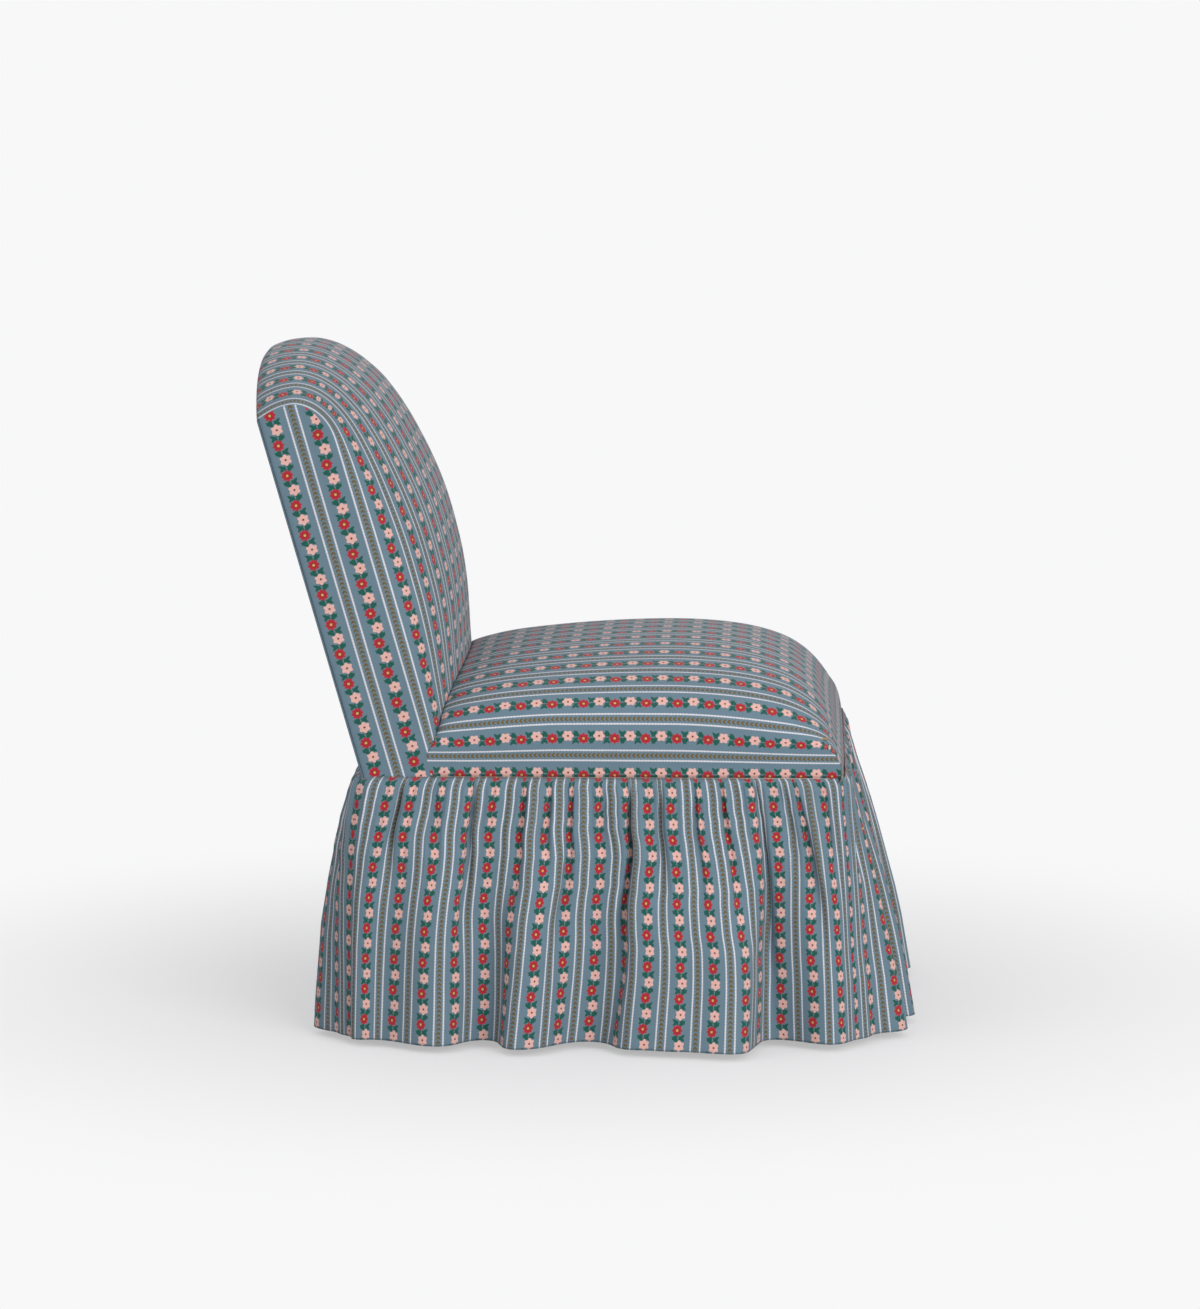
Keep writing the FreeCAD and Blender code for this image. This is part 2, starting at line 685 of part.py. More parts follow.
def top_rail(spots):
    """The arched rail across the tops of the posts."""
    half = number("frame_half")
    inner = number("post_inner")
    low = number("post_top")
    corner = number("top_rail_edge")
    y = -number("frame_front")
    edges = (
        Part.makeLine(Vector(inner, y, low), Vector(half, y, low)),
        Part.makeLine(Vector(half, y, low), Vector(half, y, corner)),
        Part.Arc(Vector(half, y, corner), Vector(0, y, number("top_rail_crown")),
                 Vector(-half, y, corner)).toShape(),
        Part.makeLine(Vector(-half, y, corner), Vector(-half, y, low)),
        Part.makeLine(Vector(-half, y, low), Vector(-inner, y, low)),
        Part.Arc(Vector(-inner, y, low), Vector(0, y, number("slat_top")),
                 Vector(inner, y, low)).toShape(),
    )
    board = Part.Face(Part.Wire(edges)).extrude(Vector(0, number("post_depth"), 0))
    blank = shaped("top_rail_blank", board)
    blank.Placement = LEANING
    node(cut("back_top_rail", blank, dowel_holes("top", spots, LEANING)), "back_top_rail")


def back_hardware():
    """Bolts through the posts into barrel nuts in the side rails."""
    bolts = []
    nuts = []
    for side in ("-", ""):
        for level in bolt_levels():
            tag = f"{len(bolts)}"
            shank = rod("shank_" + tag, "bolt_radius", "post_bolt_length",
                        post_bolt_middle(side, level), ALONG_Y, LEANING)
            seat = post_bolt_middle(side, level)
            seat.y = -number("frame_rear + clearance + nut_height / 2")
            head = rod("head_" + tag, "nut_radius", "nut_height", seat, ALONG_Y, LEANING)
            bolt = doc.addObject("Part::MultiFuse", "post_bolt_" + tag)
            bolt.Shapes = [shank, head]
            bolts.append(bolt)
            barrel = rod("barrel_" + tag, "barrel_radius", "rail_thickness - 2 * fit",
                         barrel_middle(side, level), ALONG_X, LEANING)
            hole = rod("thread_" + tag, "bolt_radius + fit", "4 * barrel_radius",
                       barrel_middle(side, level), ALONG_Y, LEANING)
            nuts.append(cut("barrel_nut_" + tag, barrel, [hole]))
    node(group("post_bolts", bolts), "post_bolts")
    node(group("barrel_nuts", nuts), "barrel_nuts")


# Springs, webbing and cloth inside

def spring_wire():
    """The middle line of a zigzag spring, from the front rail to the rear rail."""
    loop = number("spring_loop")
    side = number("spring_width / 2 - wire_radius") - loop
    start = number("spring_first")
    span = number("spring_last") - start
    runs = 2 * round(span / (4 * loop)) + 1
    step = span / (runs - 1)
    level = number("wire_level")
    edges = []
    for index in range(runs):
        y = start + index * step
        way = 1 if index % 2 == 0 else -1
        edges.append(Part.makeLine(Vector(-way * side, y, level), Vector(way * side, y, level)))
        if index < runs - 1:
            bulge = Vector(way * (side + step / 2), y + step / 2, level)
            edges.append(Part.Arc(Vector(way * side, y, level), bulge,
                                  Vector(way * side, y + step, level)).toShape())
    return Part.Wire(edges)


def springs():
    path = spring_wire()
    start = path.Edges[0].Vertexes[0].Point
    ring = Part.Wire(Part.makeCircle(number("wire_radius"), start, Vector(1, 0, 0)))
    wire = path.makePipeShell([ring], True, False)
    print("spring volume", wire.Volume, "length times section",
          path.Length * math.pi * number("wire_radius") ** 2)
    clips = []
    for place in range(-2, 3):
        x = place * number("spring_pitch")
        label = f"seat_spring_{place + 3}"
        spring = shaped(label, wire)
        spring.Placement = Placement(Vector(x, 0, 0), Rotation())
        node(spring, label)
        for y, turn in (("spring_first", 0), ("spring_last", 180)):
            clips.append(spring_clip(f"clip_{len(clips)}", x, number(y), turn))
    node(group("spring_clips", clips), "spring_clips")


def spring_clip(name, x, y, turn):
    """A bent strap on the rail that holds the end run of a spring."""
    metal = number("clip_metal")
    inner = number("wire_radius + fit")
    outer = inner + metal
    tail = number("spring_end") - number("clearance")
    edges = (
        Part.makeLine(Vector(0, -tail, -outer), Vector(0, 0, -outer)),
        Part.Arc(Vector(0, 0, -outer), Vector(0, outer, 0), Vector(0, 0, outer)).toShape(),
        Part.makeLine(Vector(0, 0, outer), Vector(0, -tail / 2, outer)),
        Part.makeLine(Vector(0, -tail / 2, outer), Vector(0, -tail / 2, inner)),
        Part.makeLine(Vector(0, -tail / 2, inner), Vector(0, 0, inner)),
        Part.Arc(Vector(0, 0, inner), Vector(0, inner, 0), Vector(0, 0, -inner)).toShape(),
        Part.makeLine(Vector(0, 0, -inner), Vector(0, -tail, -inner)),
        Part.makeLine(Vector(0, -tail, -inner), Vector(0, -tail, -outer)),
    )
    width = number("clip_width")
    strap = Part.Face(Part.Wire(edges)).extrude(Vector(width, 0, 0))
    strap.translate(Vector(-width / 2, 0, 0))
    clip = shaped(name, strap)
    clip.Placement = Placement(Vector(x, y, number("wire_level")),
                               Rotation(Vector(0, 0, 1), turn))
    return clip


def tie_wires():
    """Two straight wires across the springs, under them."""
    ties = []
    middle_y = "(spring_first + spring_last) / 2"
    for sign in ("-", "+"):
        spot = point("0", middle_y + sign + "tie_spread / 2",
                     "wire_level - wire_radius - tie_radius - fit")
        ties.append(rod(f"tie_{len(ties)}", "tie_radius", "2 * side_inner - 2 * clearance", spot,
                        ALONG_X))
    node(group("spring_tie_wires", ties), "spring_tie_wires")


def deck_cloths():
    depth = "rear_rail_front + rail_thickness - (front_face)"
    node(box("deck_burlap", ("2 * frame_half", depth, "deck"),
             ("-frame_half", "front_face", "deck_top - deck")), "deck_burlap")
    sheet_box = box("dust_blank", ("2 * frame_half", depth, "dust_cloth"),
                    ("-frame_half", "front_face", "rail_bottom - clearance - dust_cloth"))
    windows = []
    for row, side in LEG_SPOTS:
        spot = leg_middle(row, side)
        across = ("" if spot.x > 0 else "-") + "leg_x - leg_top / 2 - clearance"
        along = row + "_leg_y - leg_top / 2 - clearance"
        windows.append(box(f"window_{row}_{side}",
                           ("leg_top + 2 * clearance", "leg_top + 4 * clearance", "3 * dust_cloth"),
                           (across, along, "rail_bottom - 2 * dust_cloth")))
    node(cut("dust_cover", sheet_box, windows), "dust_cover")


def webbing():
    """Two layers of straps across the open back frame, and the burlap over them."""
    straps = []
    count = 4
    for index in range(count):
        share = (index + 0.5) / count
        level = f"lower_rail_top + {share} * (post_top - lower_rail_top) - web_width / 2"
        straps.append(box(f"web_across_{index}", ("2 * frame_half", "web", "web_width"),
                          ("-frame_half", "-web_one", level), LEANING))
    for index in (-1, 0, 1):
        across = f"{index} * frame_half / 2 - web_width / 2"
        straps.append(box(f"web_up_{index + 1}",
                          ("web_width", "web", "top_rail_edge - lower_rail_level - layers"),
                          (across, "-web_two", "lower_rail_level"), LEANING))
    node(group("back_webbing", straps), "back_webbing")
    node(box("back_burlap", ("2 * frame_half", "deck", "top_rail_edge - lower_rail_level"),
             ("-frame_half", "-back_cloth", "lower_rail_level"), LEANING), "back_burlap")


def back_tack_strips():
    """Strips at the rear of the frame that the outside back is pressed on."""
    depth = "-(cover + clearance + strip)"
    length = "top_rail_edge - (post_foot) - strip_width - clearance"
    strips = [
        box("tack_left", ("strip_width", "strip", length), ("-frame_half", depth, "post_foot"),
            LEANING),
        box("tack_right", ("strip_width", "strip", length),
            ("frame_half - strip_width", depth, "post_foot"), LEANING),
        box("tack_top", ("2 * frame_half", "strip", "strip_width"),
            ("-frame_half", depth, "top_rail_edge - strip_width"), LEANING),
    ]
    node(group("back_tack_strips", strips), "back_tack_strips")


# Skirt

# Levels of the skirt: share of its drop, then of its flare and of its folds
SKIRT_LEVELS = (
    (0.00, 0.00, 0.02),
    (0.05, 0.23, 0.07),
    (0.15, 0.42, 0.20),
    (0.32, 0.65, 0.42),
    (0.56, 0.84, 0.70),
    (0.80, 0.95, 0.89),
    (1.00, 1.00, 1.00),
)
# Crests and troughs of a side's hem, from the rear corner on: place along it, then height over
# the corners as a share of the highest one
SIDE_FOLDS = ((0.13, 0.56), (0.23, 0.03), (0.31, 0.76), (0.47, 0.08), (0.58, 0.72), (0.79, 1.00),
              (0.89, -0.17))
# Crests and troughs of the front and the rear, from corner to corner
END_FOLDS = ((0.06, 0.82), (0.14, 0.18), (0.22, 1.00), (0.32, 0.07), (0.41, 0.86), (0.50, 0.18),
             (0.59, 0.86), (0.68, 0.07), (0.78, 1.00), (0.86, 0.18), (0.94, 0.82))
CORNER_SWEEP = 44.8     # degrees of each corner in the panel beside it
BEND = 0.28             # of the way to the next fold, where a fold's round part ends
BEND_FALL = 0.18        # of the height to the next fold, reached there


def fold_line(spot, folds, lowest, depth):
    """Arcs over crests and troughs, joined by straight flanks, between two corners."""
    knots = [(0.0, lowest)]
    knots.extend((place, lowest + share * depth) for place, share in folds)
    knots.append((1.0, lowest))

    def part_way(one, two, run, fall):
        return spot(one[0] + run * (two[0] - one[0]), one[1] + fall * (two[1] - one[1]))
    edges = []
    last = None
    for index, knot in enumerate(knots):
        before = knots[max(index - 1, 0)]
        after = knots[min(index + 1, len(knots) - 1)]
        begin = part_way(knot, before, BEND, BEND_FALL)
        end = part_way(knot, after, BEND, BEND_FALL)
        top = spot(*knot)
        if index == 0:
            top = part_way(knot, after, BEND / 2, BEND_FALL / 4)
        elif index == len(knots) - 1:
            top = part_way(knot, before, BEND / 2, BEND_FALL / 4)
        if last is not None:
            edges.append((last, begin))
        edges.append((begin, top, end))
        last = end
    return edges


def skirt_edge(points):
    """An edge of the skirt's section, straight through two points or round through three."""
    if len(points) == 2:
        return Part.makeLine(*points)
    return Part.Arc(*points).toShape()


def skirt_panel(start, along, outward, length, folds, height, inward, cloth, lift):
    """A gathered panel with half a rounded corner at each end, as one closed wall."""
    radius = number("seat_corner")
    drop = number("seam_height - hem_height")
    wires = []
    for down, flare, wave in SKIRT_LEVELS:
        level = number("seam_height") - down * drop + (lift if down == 1 else 0)
        reach = number("skirt_start") - inward + flare * number("skirt_flare")
        lowest = -wave * number("corner_drop")

        def layer(base):
            def spot(share, out):
                place = start + along * (share * length) + outward * (base + out)
                return Vector(place.x, place.y, level)

            def corner(end, angle):
                centre = start + along * (end * length) - outward * radius
                sweep = math.radians(angle)
                ahead = along * (math.sin(sweep) * (1 if end else -1))
                way = outward * math.cos(sweep) + ahead
                place = centre + way * (radius + base + lowest)
                return Vector(place.x, place.y, level)
            turn = CORNER_SWEEP
            edges = [(corner(0, turn), corner(0, turn / 2), spot(0, lowest))]
            edges.extend(fold_line(spot, folds, lowest, wave * height))
            edges.append((spot(1, lowest), corner(1, turn / 2), corner(1, turn)))
            return edges
        outer = layer(reach + cloth)
        inner = layer(reach)
        edges = [skirt_edge(points) for points in outer]
        edges.append(Part.makeLine(outer[-1][-1], inner[-1][-1]))
        edges.extend(skirt_edge(points[::-1]) for points in reversed(inner))
        edges.append(Part.makeLine(inner[0][0], outer[0][0]))
        wires.append(Part.Wire(edges))
    return Part.makeLoft(wires, True, False)


def skirt():
    """Four gathered panels, sewn corner to corner, and their lining."""
    half = number("half_width")
    radius = number("seat_corner")
    front = number("front_seam")
    rear = number("rear_seam")
    long_way = rear - front - 2 * radius
    wide_way = 2 * (half - radius)
    panels = (
        ("left", Vector(-half, rear - radius, 0), Vector(0, -1, 0), Vector(-1, 0, 0), long_way,
         SIDE_FOLDS, "side_folds"),
        ("right", Vector(half, rear - radius, 0), Vector(0, -1, 0), Vector(1, 0, 0), long_way,
         SIDE_FOLDS, "side_folds"),
        ("front", Vector(-half + radius, front, 0), Vector(1, 0, 0), Vector(0, -1, 0), wide_way,
         END_FOLDS, "front_folds"),
        ("rear", Vector(-half + radius, rear, 0), Vector(1, 0, 0), Vector(0, 1, 0), wide_way,
         END_FOLDS, "rear_folds"),
    )
    lining = number("lining_gap + lining_cloth")
    for side, start, along, outward, length, folds, height in panels:
        run = (start, along, outward, length, folds, number(height))
        outer = skirt_panel(*run, 0, number("skirt_cloth"), 0)
        node(shaped("skirt_" + side, outer), "skirt_" + side)
        inner = skirt_panel(*run, lining, number("lining_cloth"), number("lining_lift"))
        node(shaped("skirt_lining_" + side, inner), "skirt_lining_" + side)


def skirt_tack_strips():
    """Card strips at the seam, between the covers and the gathers."""
    low = "seam_height - 2 * strip - strip_width"
    length = "seat_depth - 2 * seat_corner"
    width = "chair_width - 2 * seat_corner"
    strips = [
        box("card_left", ("strip", length, "strip_width"),
            ("-half_width - clearance - strip", "front_seam + seat_corner", low)),
        box("card_right", ("strip", length, "strip_width"),
            ("half_width + clearance", "front_seam + seat_corner", low)),
        box("card_front", (width, "strip", "strip_width"),
            ("seat_corner - half_width", "front_seam - clearance - strip", low)),
        box("card_rear", (width, "strip", "strip_width"),
            ("seat_corner - half_width", "rear_seam + clearance", low)),
    ]
    node(group("skirt_tack_strips", strips), "skirt_tack_strips")


def check_all():
    """Stop on any object that failed or any empty or broken shape."""
    doc.recompute()
    for item in doc.Objects:
        if {"Invalid", "Error"} & set(item.State):
            raise RuntimeError("failed object: " + item.Label)
    for item in NODES:
        shape = item.Shape
        if shape.isNull() or not shape.isValid() or not shape.Solids:
            raise RuntimeError("broken sub-part: " + item.Label)


def export_all():
    os.makedirs("parts", exist_ok=True)
    for item in NODES:
        item.Shape.exportStep(f"parts/{item.Label}.step")
    print(len(NODES), "sub-parts written")


seat_rails()
corner_blocks()
legs()
leg_hardware()
back_frame()
back_hardware()
springs()
tie_wires()
deck_cloths()
webbing()
back_tack_strips()
seat_cushioning()
back_cushioning()
skirt()
skirt_tack_strips()
check_all()
export_all()
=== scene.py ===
"""Dresses the slipper chair: padded seat and back, gathered skirt with its lining, outside back,
seams, a printed cloth and the finishes of the frame inside. Metres, the part's own frame."""
import bisect
import bpy
import json
import math
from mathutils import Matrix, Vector


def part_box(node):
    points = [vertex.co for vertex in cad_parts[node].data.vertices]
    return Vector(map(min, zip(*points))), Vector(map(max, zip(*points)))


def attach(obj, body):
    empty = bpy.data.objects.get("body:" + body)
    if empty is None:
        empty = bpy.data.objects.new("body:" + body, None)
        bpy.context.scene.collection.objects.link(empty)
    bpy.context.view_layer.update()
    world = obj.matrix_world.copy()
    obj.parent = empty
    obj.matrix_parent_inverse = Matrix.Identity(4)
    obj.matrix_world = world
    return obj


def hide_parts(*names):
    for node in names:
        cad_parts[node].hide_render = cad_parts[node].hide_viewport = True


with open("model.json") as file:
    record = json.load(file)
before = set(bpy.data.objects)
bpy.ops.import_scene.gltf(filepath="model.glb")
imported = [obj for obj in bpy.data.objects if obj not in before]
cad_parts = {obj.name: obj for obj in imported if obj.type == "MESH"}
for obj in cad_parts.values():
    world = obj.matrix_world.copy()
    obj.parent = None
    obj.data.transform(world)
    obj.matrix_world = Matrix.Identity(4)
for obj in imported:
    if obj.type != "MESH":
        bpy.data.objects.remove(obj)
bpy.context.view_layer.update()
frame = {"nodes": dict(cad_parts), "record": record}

# Sizes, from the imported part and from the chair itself
SEAT_LOW, SEAT_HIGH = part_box("seat_cover")
HALF = SEAT_HIGH[0]             # half the width over the covers
FRONT_SEAM = SEAT_LOW[1]
COVER_FOOT = SEAT_LOW[2]        # the seat cover's edge, behind the skirt
SEAM = 0.314                    # height of the seam between the covers and the skirt
REAR_SEAM = 0.2582
SEAT_DEPTH = REAR_SEAM - FRONT_SEAM
LEAN = math.radians(16)
CORNER = 0.022                  # radius of the frame's corners, round which the skirt runs
HEM = 0.009                     # the skirt's hem over the floor
STRIPE = 0.045                  # repeat of the print across the cloth

# Middle line of the seat, front to rear, and the edge of its sides: along, height over the floor.
# Both run on into the back, where the seat is then held off the back's front.
SEAT_MIDDLE = ((-0.2990, 0.262), (-0.2990, 0.309), (-0.3016, 0.3135), (-0.3028, 0.319),
               (-0.3000, 0.335), (-0.2895, 0.362), (-0.2770, 0.388), (-0.2600, 0.409),
               (-0.2350, 0.4265), (-0.1950, 0.4405), (-0.1450, 0.4480), (-0.0850, 0.4500),
               (0.0000, 0.4460), (0.0870, 0.4365), (0.1300, 0.4275), (0.1600, 0.416),
               (0.1750, 0.400), (0.1720, 0.330), (0.1700, 0.262))
SEAT_EDGE = ((-0.2950, 0.262), (-0.2950, 0.309), (-0.2976, 0.3135), (-0.2985, 0.318),
             (-0.2970, 0.332), (-0.2910, 0.3425), (-0.2780, 0.3485), (-0.2500, 0.3495),
             (-0.2050, 0.345), (-0.1500, 0.341), (0.0000, 0.340), (0.0800, 0.340), (0.1600, 0.340),
             (0.1950, 0.337), (0.2020, 0.325), (0.2000, 0.262))
# Middle line of the back, bottom to rear edge, and the edge of its sides: height along the lean,
# depth in front of the outside back
BACK_MIDDLE = ((-0.088, 0.113), (0.000, 0.1185), (0.080, 0.1355), (0.150, 0.1515), (0.205, 0.158),
               (0.281, 0.1575), (0.360, 0.1435), (0.415, 0.1245), (0.447, 0.1045), (0.4705, 0.082),
               (0.4845, 0.060), (0.4905, 0.040), (0.4925, 0.022), (0.4910, 0.008), (0.4865, 0.0015))
BACK_EDGE = ((-0.076, 0.073), (0.000, 0.078), (0.062, 0.080), (0.140, 0.079), (0.220, 0.078),
             (0.300, 0.077), (0.360, 0.0765), (0.390, 0.0755), (0.4126, 0.070), (0.428, 0.061),
             (0.4365, 0.048), (0.4385, 0.034), (0.4365, 0.018), (0.4315, 0.0015))


def spread(line, shares):
    """Points at shares of a line's length, and that length."""
    lengths = [0.0]
    for one, two in zip(line, line[1:]):
        lengths.append(lengths[-1] + (two - one).length)
    spots = []
    place = 0
    for share in shares:
        goal = lengths[-1] * share
        while place < len(line) - 2 and lengths[place + 1] < goal:
            place += 1
        span = lengths[place + 1] - lengths[place]
        part = (goal - lengths[place]) / span if span else 0.0
        spots.append(line[place].lerp(line[place + 1], min(max(part, 0.0), 1.0)))
    return spots, lengths[-1]


def along_curve(points, count):
    """Points at even steps along a smooth line through a few points."""
    fine = []
    steps = 24
    for index in range(len(points) - 1):
        before = Vector(points[max(index - 1, 0)])
        start = Vector(points[index])
        end = Vector(points[index + 1])
        after = Vector(points[min(index + 2, len(points) - 1)])
        chord = (end - start).length
        lead = (end - before).normalized() * chord
        tail = (after - start).normalized() * chord
        for step in range(steps):
            t = step / steps
            fine.append(start * (2 * t ** 3 - 3 * t ** 2 + 1) + lead * (t ** 3 - 2 * t ** 2 + t)
                        + end * (3 * t ** 2 - 2 * t ** 3) + tail * (t ** 3 - t ** 2))
    fine.append(Vector(points[-1]))
    return spread(fine, [index / count for index in range(count + 1)])[0]


def at(curve, x):
    """Height of a line of points at x, straight between them."""
    for (x1, y1), (x2, y2) in zip(curve, curve[1:]):
        if x <= x2:
            share = (x - x1) / (x2 - x1)
            return y1 + (y2 - y1) * min(max(share, 0.0), 1.0)
    return curve[-1][1]


def smooth(start, end, x):
    """A level start and end between 0 and 1."""
    t = min(max((x - start) / (end - start), 0.0), 1.0)
    return t * t * (3 - 2 * t)


def smooth_through(knots, x):
    """Smooth height at x through a few knots, level at each of them."""
    if x <= knots[0][0]:
        return knots[0][1]
    for (x1, y1), (x2, y2) in zip(knots, knots[1:]):
        if x <= x2:
            return y1 + (y2 - y1) * smooth(x1, x2, x)
    return knots[-1][1]


def make_piece(name, points, faces, uvs, material):
    """A mesh object from points, faces and one texture place for each face corner."""
    mesh = bpy.data.meshes.new(name)
    mesh.from_pydata([tuple(p) for p in points], [], faces)
    layer = mesh.uv_layers.new(name="cloth")
    flat = []
    for corners in uvs:
        for u, v in corners:
            flat.extend((u, v))
    layer.data.foreach_set("uv", flat)
    mesh.update()
    piece = bpy.data.objects.new(name, mesh)
    bpy.context.collection.objects.link(piece)
    mesh.materials.append(material)
    mesh.polygons.foreach_set("use_smooth", [True] * len(mesh.polygons))
    return piece


class Shell:
    """Points and faces of a piece as it is built up."""

    def __init__(self):
        self.points = []
        self.faces = []
        self.uvs = []

    def add(self, point, flat):
        """Add a point. Its corner is its number and its place on the flat cloth."""
        self.points.append(point)
        return len(self.points) - 1, flat

    def face(self, *corners):
        self.faces.append(tuple(index for index, _flat in corners))
        self.uvs.append([flat for _index, flat in corners])


def pick(piece):
    """Make a piece the only selected and active object."""
    bpy.ops.object.select_all(action="DESELECT")
    piece.select_set(True)
    bpy.context.view_layer.objects.active = piece


def close_mesh(piece, distance=5e-5):
    """Merge points that meet and turn the faces outwards."""
    pick(piece)
    bpy.ops.object.mode_set(mode="EDIT")
    bpy.ops.mesh.select_all(action="SELECT")
    bpy.ops.mesh.remove_doubles(threshold=distance)
    bpy.ops.mesh.normals_make_consistent(inside=False)
    bpy.ops.object.mode_set(mode="OBJECT")


# Print and cloth

class Term:
    """A number that a material's math nodes work out."""

    def __init__(self, tree, socket):
        self.tree = tree
        self.socket = socket

    def math(self, kind, *others):
        node = self.tree.nodes.new("ShaderNodeMath")
        node.operation = kind
        for index, value in enumerate((self,) + others):
            if isinstance(value, Term):
                self.tree.links.new(value.socket, node.inputs[index])
            else:
                node.inputs[index].default_value = value
        return Term(self.tree, node.outputs[0])

    def __add__(self, other):
        return self.math("ADD", other)

    def __sub__(self, other):
        return self.math("SUBTRACT", other)

    def __mul__(self, other):
        return self.math("MULTIPLY", other)

    def size(self):
        return self.math("ABSOLUTE")

    def sine(self):
        return self.math("SINE")

    def most(self, other):
        return self.math("MAXIMUM", other)

    def least(self, other):
        return self.math("MINIMUM", other)

    def repeat(self, pitch, shift=0.0):
        """Distance from the middle of each repeat."""
        return (self + (shift + pitch / 2)).math("FLOORED_MODULO", pitch) - pitch / 2

    def inside(self, soft):
        """1 where the number is below 0, with a soft edge."""
        node = self.tree.nodes.new("ShaderNodeMapRange")
        node.interpolation_type = "SMOOTHSTEP"
        node.inputs["From Min"].default_value = -soft
        node.inputs["From Max"].default_value = soft
        node.inputs["To Min"].default_value = 1.0
        node.inputs["To Max"].default_value = 0.0
        self.tree.links.new(self.socket, node.inputs["Value"])
        return Term(self.tree, node.outputs["Result"])


def linear(red, green, blue):
    """A colour from its screen values of 0 to 255."""
    def one(value):
        value = value / 255
        return value / 12.92 if value <= 0.04045 else ((value + 0.055) / 1.055) ** 2.4
    return (one(red), one(green), one(blue), 1.0)


def new_material(name, base, roughness=0.9):
    """A plain material, its node tree and its shader."""
    material = bpy.data.materials.new(name)
    material.use_nodes = True
    shader = material.node_tree.nodes["Principled BSDF"]
    shader.inputs["Base Color"].default_value = base
    shader.inputs["Roughness"].default_value = roughness
    return material, material.node_tree, shader


def layer_over(tree, below, colour, mask):
    """Lay a colour over another, or over a colour that nodes work out, where the mask is 1."""
    mix = tree.nodes.new("ShaderNodeMix")
    mix.data_type = "RGBA"
    mix.clamp_factor = True
    tree.links.new(mask.socket, mix.inputs["Factor"])
    if isinstance(below, tuple):
        mix.inputs["A"].default_value = below
    else:
        tree.links.new(below, mix.inputs["A"])
    mix.inputs["B"].default_value = colour
    return mix.outputs["Result"]


def noise(tree, vector, scale, detail=3.0, stretch=None):
    """Noise on coordinates, stretched by a mapping if asked."""
    node = tree.nodes.new("ShaderNodeTexNoise")
    node.inputs["Scale"].default_value = scale
    node.inputs["Detail"].default_value = detail
    if stretch:
        mapping = tree.nodes.new("ShaderNodeMapping")
        mapping.inputs["Scale"].default_value = stretch
        tree.links.new(vector, mapping.inputs["Vector"])
        vector = mapping.outputs["Vector"]
    tree.links.new(vector, node.inputs["Vector"])
    return Term(tree, node.outputs["Fac"])


GROUND = linear(113, 138, 153)
WHITE = linear(228, 226, 233)
OLIVE = linear(118, 97, 52)
GREEN = linear(34, 96, 84)
RED = linear(190, 48, 60)
RED_DARK = linear(120, 30, 44)
PINK = linear(242, 192, 182)
YELLOW = linear(233, 178, 104)


def blossom(across, along, radius, petals, depth):
    """How far a place lies outside a round flower with petals, and how far from its middle."""
    distance = (across * across + along * along).math("SQRT")
    angle = across.math("ARCTAN2", along)
    rim = (angle * petals).math("COSINE") * (radius * depth) + radius
    return distance - rim, distance


def leaf(across, along, x, y, turn, length, width):
    """How far a place lies outside a pointed leaf."""
    dx = across - x
    dy = along - y
    run = dx * math.cos(turn) + dy * math.sin(turn)
    side = dy * math.cos(turn) - dx * math.sin(turn)
    return side.size() - (run * run * (-width / length ** 2) + width)


def printed_cloth():
    """Dusty blue cloth printed with garden stripes, on the piece's own flat places in metres."""
    material, tree, shader = new_material("printed_cloth", GROUND)
    place = tree.nodes.new("ShaderNodeUVMap")
    place.uv_map = "cloth"
    wobble = tree.nodes.new("ShaderNodeTexNoise")
    wobble.inputs["Scale"].default_value = 420.0
    tree.links.new(place.outputs["UV"], wobble.inputs["Vector"])
    jitter = Term(tree, wobble.outputs["Fac"]) * 0.5 - 0.25
    split = tree.nodes.new("ShaderNodeSeparateXYZ")
    tree.links.new(place.outputs["UV"], split.inputs["Vector"])
    # Millimetres from here on: x across a stripe from the middle of its flowers, y along it
    x = (Term(tree, split.outputs["X"]) * 1000.0).repeat(STRIPE * 1000) + jitter
    y = Term(tree, split.outputs["Y"]) * 1000.0 + jitter
    edge = 0.28             # half the soft edge of every shape

    white = beaded_cords(x, y).inside(edge)
    from_ear = x.size() * -1.0 + STRIPE * 500
    chevron_half = 1.5
    ear_half = 2.6
    chevron = (y + from_ear * 0.9).repeat(5.2).size() - chevron_half
    ear = chevron.inside(edge) * (from_ear - ear_half).inside(edge)

    repeat = 36.0           # from one red flower to the next
    sway = 1.6              # of the stem, and of the flowers beside it
    stem_half = 0.75
    near_red = y.repeat(repeat)
    near_pink = y.repeat(repeat, repeat / 2)
    stem_line = x - (y * (2 * math.pi / repeat)).sine() * sway
    stem = (stem_line.size() - stem_half).inside(edge)
    green = stem.most(leaf_pairs(x, near_red, near_pink, edge))
    radius = 6.0
    red, red_far = blossom(x + sway, near_red, radius, 8.0, 0.12)
    pink, pink_far = blossom(x - sway, near_pink, radius, 6.0, 0.14)

    colour = GROUND
    for tone, mask in ((OLIVE, ear), (WHITE, white), (GREEN, green), (RED, red.inside(edge)),
                       (PINK, pink.inside(edge)), (RED_DARK, (red_far - 2.5).inside(edge)),
                       (YELLOW, (red_far - 1.6).inside(edge)),
                       (RED_DARK, (pink_far - 1.2).inside(edge))):
        colour = layer_over(tree, colour, tone, mask)
    weave(tree, shader, place.outputs["UV"], colour)
    return material


def beaded_cords(x, y):
    """How far a place lies outside the two white cords, in millimetres."""
    cord_place = 16.3
    cord_half = 0.85
    bead_pitch = 3.6
    bead_radius = 1.25
    beside = x.size() - cord_place
    along = y.repeat(bead_pitch)
    beads = (along * along + beside * beside).math("SQRT") - bead_radius
    return (beside.size() - cord_half).least(beads)


